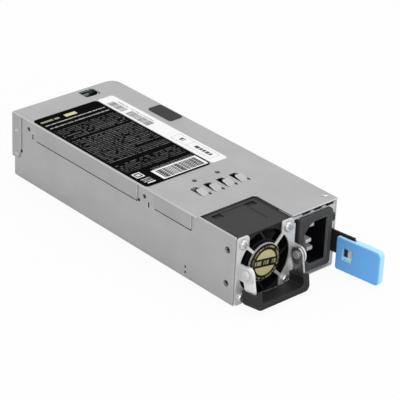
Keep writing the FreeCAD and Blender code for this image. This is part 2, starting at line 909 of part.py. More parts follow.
def lid_vents(lid):
    """A row of openings, each with a tongue bent up out of the plate."""
    left = across(s.vent_first) - s.vent_width / 2
    right = left + s.vent_width
    front, far, hinge = back(s.vent_front), back(s.vent_back), back(s.vent_hinge)
    opening = [
        (left, front),
        (left + s.vent_slit, front),
        (left + s.vent_slit, hinge),
        (right - s.vent_slit, hinge),
        (right - s.vent_slit, front),
        (right, front),
        (right, far - s.vent_corner),
        (right - s.vent_slit * 2, far),
        (left, far),
    ]
    cut = lid.slab("XY", [opening], LID_UNDER, s.case_height, remove=True)
    tip = hinge + s.tongue_length
    profile = [
        (hinge, LID_UNDER),
        (tip, LID_UNDER + s.tongue_rise),
        (tip, s.case_height + s.tongue_rise),
        (hinge, s.case_height),
    ]
    tongue = lid.slab("YZ", [profile], left + s.vent_slit, right - s.vent_slit)
    lid.row([cut, tongue], "X", s.vent_count, s.vent_pitch)


def rear_panel():
    """The rear wall with its two side flanges, round at the keyed corner."""
    panel = Piece("rear_panel")
    out = INNER_HALF - s.seat_gap
    inside = out - s.panel_sheet
    start = TRAY_REAR - s.rear_flange
    inner_rear = TRAY_REAR - s.panel_sheet
    outline = [
        (out, start),
        (out, TRAY_REAR, s.rear_corner),
        (-out, TRAY_REAR, s.tray_bend),
        (-out, start),
        (-inside, start),
        (-inside, inner_rear, s.tray_bend - s.tray_sheet),
        (inside, inner_rear, s.rear_corner - s.panel_sheet),
        (inside, start),
    ]
    panel.slab("XY", [outline], PANEL_LOW, WALL_TOP)
    case_rivet_holes(panel)
    middle = across(s.card_left) + s.card_width / 2
    card = s.card_bottom + s.board_sheet / 2
    half_width, half_height = s.card_slot_width / 2, s.card_slot_height / 2
    low = (middle - half_width, inner_rear, card - half_height)
    panel.block(low, (middle + half_width, TRAY_REAR, card + half_height), remove=True)
    first = -s.rear_vent_pitch * (s.rear_vent_count - 1) / 2 - s.rear_vent_width / 2
    vent_low = (first, inner_rear, s.rear_vent_low)
    vent = panel.block(vent_low, (first + s.rear_vent_width, TRAY_REAR, s.rear_vent_high), remove=True)
    panel.row([vent], "X", s.rear_vent_count, s.rear_vent_pitch)


def front_panel():
    """The plate that carries the inlet, the lamp and the latch's slot."""
    panel = Piece("front_panel")
    left, right = BAY_RIGHT, INNER_HALF - s.seat_gap
    panel.block((left, PANEL_FRONT, PANEL_LOW), (right, PANEL_BACK, WALL_TOP))
    flange_back = PANEL_BACK + s.panel_flange
    panel.block((left, PANEL_BACK, PANEL_LOW), (left + s.panel_sheet, flange_back, WALL_TOP))
    foot_right = LATCH_INNER - s.latch_bend_out
    panel.block((left, PANEL_BACK, PANEL_LOW), (foot_right, flange_back, PANEL_LOW + s.panel_sheet))
    half_width = s.inlet_body_width / 2 + s.inlet_fit
    half_height = s.inlet_body_height / 2 + s.inlet_fit
    low = (INLET_X - half_width, PANEL_FRONT, s.inlet_height - half_height)
    panel.block(low, (INLET_X + half_width, PANEL_BACK, s.inlet_height + half_height), remove=True)
    lamp = (across(s.lamp_middle), PANEL_FRONT, s.lamp_height)
    panel.rod(lamp, "y", s.lamp_radius + s.seat_gap, s.panel_sheet, remove=True)
    slot_left = INLET_X + s.inlet_flange_width / 2 + s.inlet_fit
    slot_low = (slot_left, PANEL_FRONT, s.latch_low - s.latch_wall_gap)
    panel.block(slot_low, (right, PANEL_BACK, s.latch_high + s.latch_wall_gap), remove=True)
    first = across(s.panel_slot_first) - s.panel_slot_width / 2
    slot_top = WALL_TOP - s.panel_slot_height / 8
    top_low = (first, PANEL_FRONT, slot_top - s.panel_slot_height)
    slot = panel.block(top_low, (first + s.panel_slot_width, PANEL_BACK, slot_top), remove=True)
    panel.row([slot], "X", s.panel_slot_count, s.panel_slot_pitch)


def fan_guard():
    """The stamped finger guard: side plates round the bore, disc, spokes, tabs and ears."""
    guard = Piece("fan_guard", place=(FAN_X, GUARD_FRONT, FAN_Z))
    depth = s.guard_sheet
    half = s.guard_tab / 2
    inner = HOLE_HALF - half
    guard.block((-HOLE_HALF - half, 0, -HOLE_HALF), (-inner, depth, HOLE_HALF))
    guard.block((inner, 0, -HOLE_HALF), (HANDLE_X - FAN_X + EAR_OUT, depth, HOLE_HALF))
    guard.rod((0, 0, 0), "y", s.guard_bore, depth, remove=True)
    guard.slab("XZ", [circle(0, 0, s.guard_disc)], 0, depth)
    thick = s.guard_spoke / 2 * HALF_RIGHT_SINE
    for side in (-1, 1):
        spoke = [
            ((-HOLE_HALF + thick) * side, -HOLE_HALF - thick),
            ((HOLE_HALF + thick) * side, HOLE_HALF - thick),
            ((HOLE_HALF - thick) * side, HOLE_HALF + thick),
            ((-HOLE_HALF - thick) * side, -HOLE_HALF + thick),
        ]
        guard.slab("XZ", [spoke if side > 0 else spoke[::-1]], 0, depth)
    for x in (-1, 1):
        for z in (-1, 1):
            low, high = HOLE_HALF * x - half, HOLE_HALF * x + half
            tab = rectangle(low, HOLE_HALF * z - half, high, HOLE_HALF * z + half, s.guard_tab_corner)
            guard.slab("XZ", [tab], 0, depth)
    for side in (-1, 1):
        guard_ear(guard, side)
    for x in (-1, 1):
        for z in (-1, 1):
            guard.rod((HOLE_HALF * x, 0, HOLE_HALF * z), "y", s.guard_hole, depth, remove=True)


def guard_ear(guard, side):
    """The ear that stands forward from a side plate of the guard, with its root."""
    outer = HANDLE_X - FAN_X + EAR_OUT * side
    inner = outer - s.ear_sheet * side
    front = PIVOT_Y - GUARD_FRONT - s.ear_radius
    pivot = s.pivot_height - FAN_Z
    edge = (HOLE_HALF + s.guard_tab / 2) * side
    low, high = (edge, inner) if side < 0 else (inner, outer)
    guard.block((low, 0, pivot - s.ear_radius), (high, s.guard_sheet, pivot + s.ear_radius))
    profile = [
        (front, pivot - s.ear_radius, s.ear_round),
        (s.guard_sheet, pivot - s.ear_radius),
        (s.guard_sheet, pivot + s.ear_radius),
        (front, pivot + s.ear_radius, s.ear_round),
    ]
    low, high = (outer, inner) if side < 0 else (inner, outer)
    guard.slab("YZ", [profile], low, high)
    start = (low, PIVOT_Y - GUARD_FRONT, pivot)
    guard.rod(start, "x", s.rivet_shank + s.rivet_fit, s.ear_sheet, remove=True)


def guard_badge():
    """The round plate in the middle of the guard."""
    front = GUARD_FRONT - s.seat_gap - s.badge_sheet
    badge = Piece("guard_badge", place=(FAN_X, front, FAN_Z))
    badge.rod((0, 0, 0), "y", s.badge_radius, s.badge_sheet)
    badge.dress("Fillet", s.badge_sheet / 3, lambda edge: near(edge.CenterOfMass.y, 0))


def fan_frame():
    """The fan's square housing with its motor base and struts."""
    frame = Piece("fan_frame", place=(FAN_X, FAN_FRONT, FAN_Z))
    half = s.fan_size / 2
    square = rectangle(-half, -half, half, half, s.fan_corner)
    frame.slab("XZ", [square], 0, s.fan_depth)
    frame.rod((0, 0, 0), "y", BORE, s.fan_depth, remove=True)
    frame.rod((0, s.motor_base_front, 0), "y", s.motor_base, s.motor_base_sheet)
    wall = (half + BORE) / 2
    strut_half, root = s.strut_width / 2, s.motor_base - s.strut_width
    outline = [
        (s.strut_root - strut_half, root),
        (s.strut_root + strut_half, root),
        (strut_half - s.strut_tip, wall),
        (-strut_half - s.strut_tip, wall),
    ]
    strut = frame.slab("XZ", [outline], s.motor_base_front, s.motor_base_front + s.strut_depth)
    frame.ring([strut], "Y", s.strut_count)
    for place in (s.fan_dent_left, s.fan_dent_left + s.fan_dent_pitch):
        left = place - half - s.fan_dent_width / 2
        low = (left, s.fan_dent_back, half - s.fan_dent_depth)
        far = (left + s.fan_dent_width, s.fan_dent_back + s.fan_dent_length, half)
        frame.block(low, far, remove=True)
    panel_left = s.fan_dent_left - half + s.fan_dent_width / 2
    panel_right = panel_left + s.fan_dent_pitch - s.fan_dent_width
    low = (panel_left, s.fan_panel_back, half - s.fan_panel_depth)
    far = (panel_right, s.fan_dent_back + s.fan_dent_length, half)
    frame.block(low, far, remove=True)
    for x in (-1, 1):
        for z in (-1, 1):
            frame.rod((HOLE_HALF * x, 0, HOLE_HALF * z), "y", s.fan_hole, s.fan_depth, remove=True)


def blade_section(lean):
    """A cambered blade section along the fan's axis."""
    front, far = s.blade_front, s.blade_front + s.blade_length
    middle = s.blade_front + s.blade_length / 2
    return [
        (front, -lean),
        (middle, -s.blade_camber),
        (far, lean),
        (far, lean + s.blade_sheet),
        (middle, s.blade_sheet - s.blade_camber),
        (front, s.blade_sheet - lean),
    ]


def fan_rotor():
    """The impeller: a hub cup, twisted blades lofted from it, and the shaft."""
    rotor = Piece("fan_rotor", place=(FAN_X, FAN_FRONT, FAN_Z))
    far = s.hub_front + s.hub_length
    cup_end = far - s.hub_wall
    hub = [
        (0, s.hub_front),
        (s.hub_radius, s.hub_front),
        (s.hub_radius, far, s.hub_wall),
        (0, far),
    ]
    rotor.spin("XY", hub, "V_Axis")
    root = rotor.sketch("YZ", s.blade_root)
    draw(root, blade_section(s.blade_root_lean))
    tip = rotor.sketch("YZ", BORE + s.blade_over)
    draw(tip, blade_section(s.blade_tip_lean))
    blade = rotor.add("PartDesign::AdditiveLoft")
    blade.Profile = root
    blade.Sections = [tip]
    rotor.done(blade)
    rotor.ring([blade], "Y", s.blade_count)
    beyond = BORE + s.blade_over + s.blade_tip_lean
    groove = rectangle(BORE - s.blade_gap, 0, beyond, s.fan_depth)
    rotor.spin("XY", groove, "V_Axis", remove=True)
    cavity = rectangle(0, 0, s.hub_radius - s.hub_wall, cup_end)
    rotor.spin("XY", cavity, "V_Axis", remove=True)
    start = s.motor_base_front + s.motor_base_sheet + s.fan_room
    rotor.rod((0, start, 0), "y", s.shaft_radius, cup_end - start + s.hub_wall / 2)


def fan_stator():
    """The motor's bearing tube and its slotted coil stack."""
    stator = Piece("fan_stator", place=(FAN_X, FAN_FRONT, FAN_Z))
    start = s.motor_base_front + s.motor_base_sheet + s.shaft_fit
    end = s.coil_front + s.coil_length
    bore = s.shaft_radius + s.shaft_fit
    outline = [
        (bore, start),
        (s.bearing_radius, start),
        (s.bearing_radius, s.coil_front),
        (s.coil_radius, s.coil_front),
        (s.coil_radius, end),
        (bore, end),
    ]
    stator.spin("XY", outline, "V_Axis")
    half = s.tooth_slot / 2
    low = (s.bearing_radius + half, s.coil_front, -half)
    slot = stator.block(low, (s.coil_radius + half, end, half), remove=True)
    stator.ring([slot], "Y", s.tooth_count)


def fan_screws():
    """Four pan head screws with crossed recesses, through the guard into the fan."""
    head_back = GUARD_FRONT - s.shaft_fit
    screws = Piece("fan_screws", place=(FAN_X - HOLE_HALF, head_back, FAN_Z - HOLE_HALF))
    outline = [
        (0, -s.screw_head_height),
        (s.screw_head, -s.screw_head_height, s.screw_head_height * 0.7),
        (s.screw_head, 0),
        (s.screw_shank, 0),
        (s.screw_shank, s.screw_length),
        (0, s.screw_length),
    ]
    head = screws.spin("XY", outline, "V_Axis")
    long, wide = s.screw_cross / 2, s.screw_cross_width / 2
    top = -s.screw_head_height
    bottom = top + s.screw_cross_depth
    flat = screws.block((-long, top, -wide), (long, bottom, wide), remove=True)
    tall = screws.block((-wide, top, -long), (wide, bottom, long), remove=True)
    across_row = screws.row([head, flat, tall], "X", 2, HOLE_HALF * 2)
    across_row.Direction2 = (screws.origin("Z_Axis"), [""])
    bind(across_row, "Length2", HOLE_HALF * 2)
    across_row.Occurrences2 = 2


def socket_outline(half_width, half_height, chamfer):
    """A rectangle with both left corners cut off."""
    return [
        (-half_width + chamfer, -half_height),
        (half_width, -half_height),
        (half_width, half_height),
        (-half_width + chamfer, half_height),
        (-half_width, half_height - chamfer),
        (-half_width, -half_height + chamfer),
    ]


def pin_places():
    """Middle of each inlet pin from the socket's middle: live, neutral, earth."""
    pitch = s.blade_pin_pitch / 2
    return [(s.live_offset, pitch), (s.live_offset, -pitch), (s.live_offset - s.earth_offset, 0)]


def inlet_housing():
    """The moulded mains inlet: flange, body, chamfered socket and pin slots."""
    inlet = Piece("inlet_housing", place=(INLET_X, PANEL_FRONT - s.shaft_fit, s.inlet_height))
    half_width, half_height = s.inlet_flange_width / 2, s.inlet_flange_height / 2
    flange = rectangle(-half_width, -half_height, half_width, half_height, s.inlet_flange_corner)
    face = -s.inlet_flange_sheet
    inlet.slab("XZ", [flange], face, 0)
    body_half, body_tall = s.inlet_body_width / 2, s.inlet_body_height / 2
    inlet.slab("XZ", [rectangle(-body_half, -body_tall, body_half, body_tall)], 0, s.inlet_body_depth)
    inlet.dress("Fillet", s.socket_mouth, lambda edge: near(edge.CenterOfMass.y, face))
    floor = s.socket_depth - s.inlet_flange_sheet
    socket = socket_outline(s.socket_width / 2, s.socket_height / 2, s.socket_chamfer)
    inlet.slab("XZ", [socket], face, floor, remove=True)
    mouth_half, mouth_tall = s.socket_width / 2 + s.socket_mouth, s.socket_height / 2 + s.socket_mouth
    mouth = socket_outline(mouth_half, mouth_tall, s.socket_chamfer + s.socket_mouth / 2)
    inlet.slab("XZ", [mouth], face, face + s.socket_mouth, remove=True)
    half_pin = s.blade_pin_width / 2 + s.shaft_fit
    half_sheet = s.blade_pin_sheet / 2 + s.shaft_fit
    for x, z in pin_places():
        low = (x - half_pin, floor, z - half_sheet)
        inlet.block(low, (x + half_pin, s.inlet_body_depth, z + half_sheet), remove=True)


def inlet_pins():
    """The three flat pins, from inside the socket to the inlet board."""
    pins = Piece("inlet_pins", place=(INLET_X, PANEL_FRONT - s.shaft_fit, s.inlet_height))
    half_pin, half_sheet = s.blade_pin_width / 2, s.blade_pin_sheet / 2
    line_tip = s.line_pin_recess - s.inlet_flange_sheet
    earth_tip = s.earth_pin_recess - s.inlet_flange_sheet
    end = s.inlet_body_depth + s.blade_pin_tail
    for (x, z), tip in zip(pin_places(), (line_tip, line_tip, earth_tip)):
        pins.block((x - half_pin, tip, z - half_sheet), (x + half_pin, end, z + half_sheet))
    tips = (line_tip, earth_tip)
    pins.dress("Chamfer", half_sheet / 3, lambda edge: any(near(edge.CenterOfMass.y, tip) for tip in tips))


def inlet_board():
    """The small upright board that the inlet's pins are soldered into."""
    front = PANEL_FRONT + s.inlet_body_depth + s.inlet_board_gap
    board = Piece("inlet_board", place=(INLET_X, front, 0))
    half = s.inlet_board_width / 2
    board.block((-half, 0, SEAT), (half, s.board_sheet, s.inlet_board_top))
    half_pin = s.blade_pin_width / 2 + s.shaft_fit
    half_sheet = s.blade_pin_sheet / 2 + s.shaft_fit
    for x, z in pin_places():
        middle = s.inlet_height + z
        low = (x - half_pin, 0, middle - half_sheet)
        board.block(low, (x + half_pin, s.board_sheet, middle + half_sheet), remove=True)


def handle_frame(label):
    """A piece of the folding handle, drawn upright from its pivot line."""
    return Piece(label, place=(HANDLE_X, PIVOT_Y, s.pivot_height), turn=((-1, 0, 0), s.handle_tilt))


def handle_arm(label, side):
    """One flat steel arm: round at its pivot, narrower where the grip holds it."""
    arm = handle_frame(label)
    foot = -s.grip_top - s.arm_seat_depth
    half = s.arm_half_width
    profile = [
        (-s.arm_foot_front, foot),
        (s.arm_foot_back, foot),
        (s.arm_foot_back, -s.grip_top),
        (half, -s.arm_waist),
        (half, half, s.arm_round),
        (-half, half, s.arm_round),
        (-half, -s.arm_waist),
        (-s.arm_foot_front, -s.grip_top),
    ]
    outer = ARM_OUT * side
    inner = outer - s.arm_sheet * side
    low, high = (outer, inner) if side < 0 else (inner, outer)
    arm.slab("YZ", [profile], low, high)
    arm.rod((low, 0, 0), "x", s.rivet_shank + s.rivet_fit, s.arm_sheet, remove=True)


def handle_grip():
    """The moulded grip: a bar between two posts that take the arms."""
    grip = handle_frame("handle_grip")
    half, inner = s.handle_width / 2, s.handle_width / 2 - s.grip_post
    bar_top = s.grip_bar - s.grip_bottom
    outline = [
        (-half, -s.grip_top),
        (-half, -s.grip_bottom, s.grip_corner),
        (half, -s.grip_bottom, s.grip_corner),
        (half, -s.grip_top),
        (inner, -s.grip_top),
        (inner, bar_top, s.grip_inner_corner),
        (-inner, bar_top, s.grip_inner_corner),
        (-inner, -s.grip_top),
    ]
    grip.slab("XZ", [outline], -s.grip_front, s.grip_back)
    face = -s.grip_front
    grip.dress("Fillet", s.grip_edge, lambda edge: all(near(v.Y, face) for v in edge.Vertexes))
    fit = s.tab_fit
    for side in (-1, 1):
        outer = (ARM_OUT + fit) * side
        inside = (ARM_OUT - s.arm_sheet - fit) * side
        low_x, high_x = (outer, inside) if side < 0 else (inside, outer)
        low = (low_x, -s.arm_foot_front - fit, -s.grip_top - s.arm_seat_depth - fit)
        grip.block(low, (high_x, s.arm_foot_back + fit, -s.grip_top), remove=True)


def handle_rivets():
    """The two domed rivets that the handle turns on, fast in the ears."""
    rivets = Piece("handle_rivets", place=(HANDLE_X, PIVOT_Y, s.pivot_height))
    head = EAR_OUT + s.shaft_fit
    foot = ARM_OUT - s.arm_sheet - s.ear_gap
    outline = [
        (-head - s.rivet_dome_height, 0),
        (-foot + s.rivet_foot_height, 0),
        (-foot + s.rivet_foot_height, s.rivet_foot),
        (-foot, s.rivet_foot),
        (-foot, s.rivet_shank),
        (-head, s.rivet_shank),
        (-head, s.rivet_dome),
        (-head - s.rivet_dome_height, s.rivet_dome, s.rivet_dome_height * 0.8),
    ]
    rivet = rivets.spin("XZ", outline, "H_Axis")
    mirror = rivets.add("PartDesign::Mirrored")
    mirror.Originals = [rivet]
    mirror.MirrorPlane = (rivets.origin("YZ_Plane"), [""])
    rivets.done(mirror)


def latch_spring():
    """The leaf spring of the latch: blade, catching tooth and splayed front end."""
    spring = Piece("latch_spring")
    tail = back(s.latch_anchor) + s.latch_tail
    lean, rise = sine(s.latch_splay), cosine(s.latch_splay)
    mitre = s.latch_sheet * (sine(s.latch_splay / 2) / cosine(s.latch_splay / 2))
    end_x = LATCH_INNER + s.latch_reach * lean
    end_y = BEND_Y - s.latch_reach * rise
    blade = [
        (LATCH_INNER, tail),
        (LATCH_INNER, BEND_Y),
        (end_x, end_y),
        (end_x + s.latch_sheet * rise, end_y + s.latch_sheet * lean),
        (LATCH_OUTER, BEND_Y + mitre),
        (LATCH_OUTER, tail),
    ]
    spring.slab("XY", [blade], s.latch_low, s.latch_high)
    front, far = back(s.tooth_front), back(s.tooth_back)
    tooth = [
        (LATCH_OUTER, front),
        (LATCH_OUTER + s.tooth_out, front),
        (LATCH_OUTER + s.tooth_out, front + s.tooth_land),
        (LATCH_OUTER, far),
    ]
    spring.slab("XY", [tooth], s.tooth_low, s.tooth_high)
    shoulder = FRONT - s.latch_shoulder
    low = (LATCH_INNER, end_y - s.latch_sheet, s.latch_neck_high)
    spring.block(low, (end_x + s.latch_sheet * 2, shoulder, s.latch_high), remove=True)
    rivet_holes(spring, s.latch_rivet + s.seat_gap, LATCH_INNER, LATCH_OUTER)


def latch_tab():
    """The finger tab moulded round the spring's end, with its small window."""
    turn = ((0, 0, 1), s.latch_splay)
    tab = Piece("latch_tab", place=(LATCH_INNER, BEND_Y, 0), turn=turn)
    left = (s.latch_sheet - s.tab_sheet) / 2
    right = left + s.tab_sheet
    near_end, far_end = -s.tab_start, -s.tab_start - s.tab_length
    profile = [
        (far_end, s.tab_low, s.tab_corner),
        (near_end, s.tab_low, s.tab_heel_corner),
        (near_end, s.tab_high, s.tab_heel_corner),
        (far_end, s.tab_high, s.tab_corner),
    ]
    tab.slab("YZ", [profile], left, right)
    faces = (left, right)
    tab.dress("Fillet", s.tab_edge, lambda edge: any(near(edge.CenterOfMass.x, face) for face in faces))
    fit = s.tab_fit
    low_x, high_x = -fit, s.latch_sheet + fit
    bottom = s.latch_low - fit
    reach = -s.latch_reach - fit
    tab.block((low_x, reach, bottom), (high_x, near_end, s.latch_neck_high + fit), remove=True)
    tab.block((low_x, -s.latch_shoulder, bottom), (high_x, near_end, s.tab_high), remove=True)
    window_end = near_end - s.tab_window_start
    window = (left, window_end - s.tab_window_length, s.tab_window_low)
    tab.block(window, (right, window_end, s.tab_window_high), remove=True)


def latch_rivets():
    """Two rivets that hold the latch spring's tail to the right wall."""
    rivets = Piece("latch_rivets", place=(0, back(s.latch_anchor), s.latch_rivet_low))
    head = TRAY_HALF + s.shaft_fit
    foot = LATCH_INNER - s.seat_gap
    outline = [
        (foot - s.rivet_foot_height, 0),
        (head + s.latch_rivet_height, 0),
        (head + s.latch_rivet_height, s.latch_rivet_head, s.latch_rivet_height / 2),
        (head, s.latch_rivet_head),
        (head, s.latch_rivet),
        (foot, s.latch_rivet),
        (foot, s.latch_rivet_foot),
        (foot - s.rivet_foot_height, s.latch_rivet_foot),
    ]
    rivet = rivets.spin("XZ", outline, "H_Axis")
    rivets.row([rivet], "Z", 2, s.latch_rivet_pitch)


def status_lamp():
    """The light pipe of the status lamp."""
    front = PANEL_FRONT - s.lamp_out
    lamp = Piece("status_lamp", place=(across(s.lamp_middle), front, s.lamp_height))
    lamp.rod((0, 0, 0), "y", s.lamp_radius, s.lamp_length)
    lamp.dress("Fillet", s.lamp_out * 0.8, lambda edge: near(edge.CenterOfMass.y, 0))


def lid_label(label, left, width, front, length, sheet):
    """A flat label on the lid, rounded at its corners."""
    sticker = Piece(label)
    corner = min(s.label_corner, width / 6, key=number)
    outline = rectangle(across(left), back(front), across(left) + width, back(front) + length, corner)
    bottom = s.case_height + s.shaft_fit / 2
    sticker.slab("XY", [outline], bottom, bottom + sheet)


def case_rivets():
    """The flush rivets that tie lid, tray and rear panel together."""
    rivets = Piece("case_rivets")
    inside = INNER_HALF - s.seat_gap - s.panel_sheet - s.case_rivet_foot
    for height in (s.case_rivet_low, s.case_rivet_high):
        start = LEFT + s.case_rivet_sink
        rivets.rod((start, REAR - s.case_rivet_left, height), "x", s.case_rivet, -inside - start)
        end = TRAY_HALF - s.case_rivet_sink
        rivets.rod((inside, REAR - s.case_rivet_right, height), "x", s.case_rivet, end - inside)


def main_board():
    """The main circuit board, stepped round the fan bay."""
    board = Piece("main_board")
    left, step, right = across(s.board_left), across(s.board_step), across(s.board_right)
    outline = [
        (left, back(s.board_front)),
        (step, back(s.board_front)),
        (step, back(s.board_inlet_front)),
        (right, back(s.board_inlet_front)),
        (right, REAR - s.board_rear),
        (left, REAR - s.board_rear),
    ]
    board.slab("XY", [outline], s.board_bottom, BOARD_TOP)
    for x, y in board_screws_places():
        board.rod((x, y, s.board_bottom), "z", s.board_hole, s.board_sheet, remove=True)


def insulation_sheet():
    """The insulating film on the tray's floor, under the main board."""
    film = Piece("insulation_sheet")
    low = (across(s.board_left), back(s.board_front), FLOOR)
    film.block(low, (across(s.board_right), REAR - s.board_rear, FLOOR + s.mylar_sheet))
    for x, y in board_screws_places():
        film.rod((x, y, FLOOR), "z", s.standoff_radius + s.seat_gap, s.mylar_sheet, remove=True)


def board_standoffs():
    """The pillars between the tray's floor and the main board."""
    pillars = Piece("board_standoffs")
    bottom = s.tray_sheet
    height = s.board_bottom - bottom
    for x, y in board_screws_places():
        pillars.rod((x, y, bottom), "z", s.standoff_radius, height)
        pillars.rod((x, y, bottom + height / 4), "z", s.standoff_bore, height * 0.75, remove=True)


def board_screws():
    """The screws that hold the main board to its pillars."""
    screws = Piece("board_screws")
    for x, y in board_screws_places():
        screws.rod((x, y, SEAT), "z", s.board_screw_head, s.board_screw_height)
        start = s.board_bottom - s.board_sheet
        screws.rod((x, y, start), "z", s.board_screw_shank, SEAT - start)


def bulk_capacitors():
    """Two tall electrolytic capacitors with rolled grooves near their feet."""
    place = (across(s.bulk_left), back(s.bulk_front), SEAT)
    cans = Piece("bulk_capacitors", place=place)
    radius, groove = s.bulk_radius, s.bulk_groove
    outline = [
        (0, 0),
        (radius, 0),
        (radius, groove * 3),
        (radius - groove, groove * 4),
        (radius, groove * 5),
        (radius, s.bulk_height, groove),
        (0, s.bulk_height),
    ]
    can = cans.spin("XZ", outline, "V_Axis")
    cans.row([can], "Y", 2, s.bulk_pitch)


def choke_core():
    """The toroid core of the power factor choke, standing across the board."""
    place = (across(s.choke_middle), back(s.choke_back), s.choke_height)
    core = Piece("pfc_choke_core", place=place)
    half = s.choke_core_width / 2
    section = rectangle(s.choke_core_inner, -half, s.choke_core_outer, half, s.choke_wire)
    core.spin("XY", section, "V_Axis")


def choke_winding():
    """The choke's turns of thick wire, spaced round the core."""
    place = (across(s.choke_middle), back(s.choke_back), s.choke_height)
    coil = Piece("pfc_choke_winding", place=place)
    half, gap, wire = s.choke_core_width / 2, s.winding_gap, s.choke_wire
    inner = rectangle(s.choke_core_inner - gap, -half - gap, s.choke_core_outer + gap, half + gap)
    reach = gap + wire
    outer = rectangle(s.choke_core_inner - reach, -half - reach, s.choke_core_outer + reach, half + reach)
    turn = coil.slab("XY", [outer, inner], -wire, wire)
    coil.ring([turn], "Y", s.choke_turns)


def filter_core():
    """The closed ferrite frame of the mains filter choke."""
    place = (across(s.filter_left), back(s.filter_back), SEAT)
    core = Piece("filter_choke_core", place=place)
    limb = s.filter_limb
    frame = rectangle(0, 0, s.filter_width, s.filter_height)
    hole = rectangle(limb, limb, s.filter_width - limb, s.filter_height - limb)
    middle = s.filter_length / 2
    core.slab("XZ", [frame, hole], middle - limb / 2, middle + limb / 2)


def filter_windings():
    """The two windings on the mains filter choke's side limbs."""
    place = (across(s.filter_left), back(s.filter_back), SEAT)
    coils = Piece("filter_choke_windings", place=place)
    limb, gap = s.filter_limb, s.part_gap
    middle = s.filter_length / 2
    for left in (0, s.filter_width - limb):
        thick = limb / 2 - gap * 2
        outer = rectangle(left - thick, middle - limb, left + limb + thick, middle + limb, limb / 4)
        half = limb / 2 + gap
        inner = rectangle(left - gap, middle - half, left + limb + gap, middle + half)
        coils.slab("XY", [outer, inner], limb + gap, s.filter_height - limb - gap)


def x_capacitor():
    """The boxed film capacitor across the mains."""
    box = Piece("x_capacitor")
    low = (across(s.xcap_left), back(s.xcap_front), SEAT)
    high = (across(s.xcap_left) + s.xcap_width, back(s.xcap_front) + s.xcap_length, SEAT + s.xcap_height)
    box.block(low, high)
    box.dress("Fillet", s.grip_edge, lambda edge: along(edge, "z"))


def line_fuse():
    """The tubular fuse lying on the board."""
    start = (across(s.fuse_left), back(s.fuse_front), SEAT + s.fuse_radius)
    fuse = Piece("line_fuse", place=start)
    radius, length = s.fuse_radius, s.fuse_length
    neck, cap = radius * 0.9, radius * 1.8
    outline = [
        (0, 0),
        (radius, 0),
        (radius, cap),
        (neck, cap),
        (neck, length - cap),
        (radius, length - cap),
        (radius, length),
        (0, length),
    ]
    fuse.spin("XY", outline, "V_Axis")


def primary_heatsink():
    """The finned heat sink along the high voltage side."""
    sink = Piece("primary_heatsink", place=(across(s.primary_left), back(s.primary_front), SEAT))
    sink.block((0, 0, 0), (s.heatsink_base, s.primary_length, s.heatsink_height))
    reach = s.heatsink_base + s.heatsink_depth
    fin = sink.block((s.heatsink_base, 0, 0), (reach, s.heatsink_fin, s.heatsink_height))
    pitch = (s.primary_length - s.heatsink_fin) / (s.primary_fins - 1)
    sink.row([fin], "Y", s.primary_fins, pitch)


def secondary_heatsink():
    """The finned heat sink across the low voltage side."""
    sink = Piece("secondary_heatsink", place=(across(s.secondary_left), back(s.secondary_back), SEAT))
    sink.block((0, 0, 0), (s.secondary_length, s.heatsink_base, s.heatsink_height))
    reach = s.heatsink_base + s.heatsink_depth
    fin = sink.block((0, s.heatsink_base, 0), (s.heatsink_fin, reach, s.heatsink_height))
    pitch = (s.secondary_length - s.heatsink_fin) / (s.secondary_fins - 1)
    sink.row([fin], "X", s.secondary_fins, pitch)


def power_switches():
    """The flat power transistors on the primary heat sink."""
    right = across(s.primary_left) - s.part_gap
    start = back(s.primary_front) + s.heatsink_base
    switches = Piece("power_switches", place=(right, start, SEAT))
    low = (-s.switch_sheet, 0, s.heatsink_base)
    package = switches.block(low, (0, s.switch_width, s.heatsink_base + s.switch_height))
    leg = s.heatsink_fin / 2
    legs = switches.block((-leg * 3, leg, 0), (-leg * 2, s.switch_width - leg, s.heatsink_base))
    switches.row([package, legs], "Y", s.switch_count, s.switch_pitch)


def transformer_core():
    """The E core of the main transformer, with two windows."""
    middle_y = back(s.transformer_front) + s.transformer_length / 2
    middle_x = across(s.transformer_left) + s.transformer_width / 2
    core = Piece("transformer_core", place=(middle_x, middle_y, SEAT))
    half, limb, tall = s.transformer_width / 2, s.transformer_limb, s.transformer_height
    frame = rectangle(-half, 0, half, tall)
    left_window = rectangle(-half + limb, limb, -limb, tall - limb)
    right_window = rectangle(limb, limb, half - limb, tall - limb)
    depth = s.transformer_depth / 2
    core.slab("XZ", [frame, left_window, right_window], -depth, depth)


def transformer_winding():
    """The winding round the transformer's middle limb."""
    middle_y = back(s.transformer_front) + s.transformer_length / 2
    middle_x = across(s.transformer_left) + s.transformer_width / 2
    coil = Piece("transformer_winding", place=(middle_x, middle_y, SEAT))
    limb, gap = s.transformer_limb, s.winding_gap
    half_width = s.transformer_width / 2 - limb - gap
    half_length = s.transformer_length / 2
    outer = rectangle(-half_width, -half_length, half_width, half_length, limb / 2)
    depth = s.transformer_depth / 2 + gap
    inner = rectangle(-limb - gap, -depth, limb + gap, depth)
    coil.slab("XY", [outer, inner], limb + gap, s.transformer_height - limb - gap)


def output_capacitors():
    """Rows of small capacitors on the output side."""
    place = (across(s.output_cap_left), back(s.output_cap_front), SEAT)
    cans = Piece("output_capacitors", place=place)
    can = cans.rod((0, 0, 0), "z", s.output_cap_radius, s.output_cap_height)
    cans_row = cans.row([can], "X", s.output_cap_count, s.output_cap_pitch)
    cans_row.Direction2 = (cans.origin("Y_Axis"), [""])
    bind(cans_row, "Length2", s.output_cap_pitch * (s.output_cap_rows - 1))
    bind(cans_row, "Occurrences2", s.output_cap_rows)


def control_board():
    """The upright control board."""
    board = Piece("control_board")
    low = (across(s.control_left), back(s.control_front), SEAT)
    high = (low[0] + s.board_sheet, low[1] + s.control_length, SEAT + s.control_height)
    board.block(low, high)


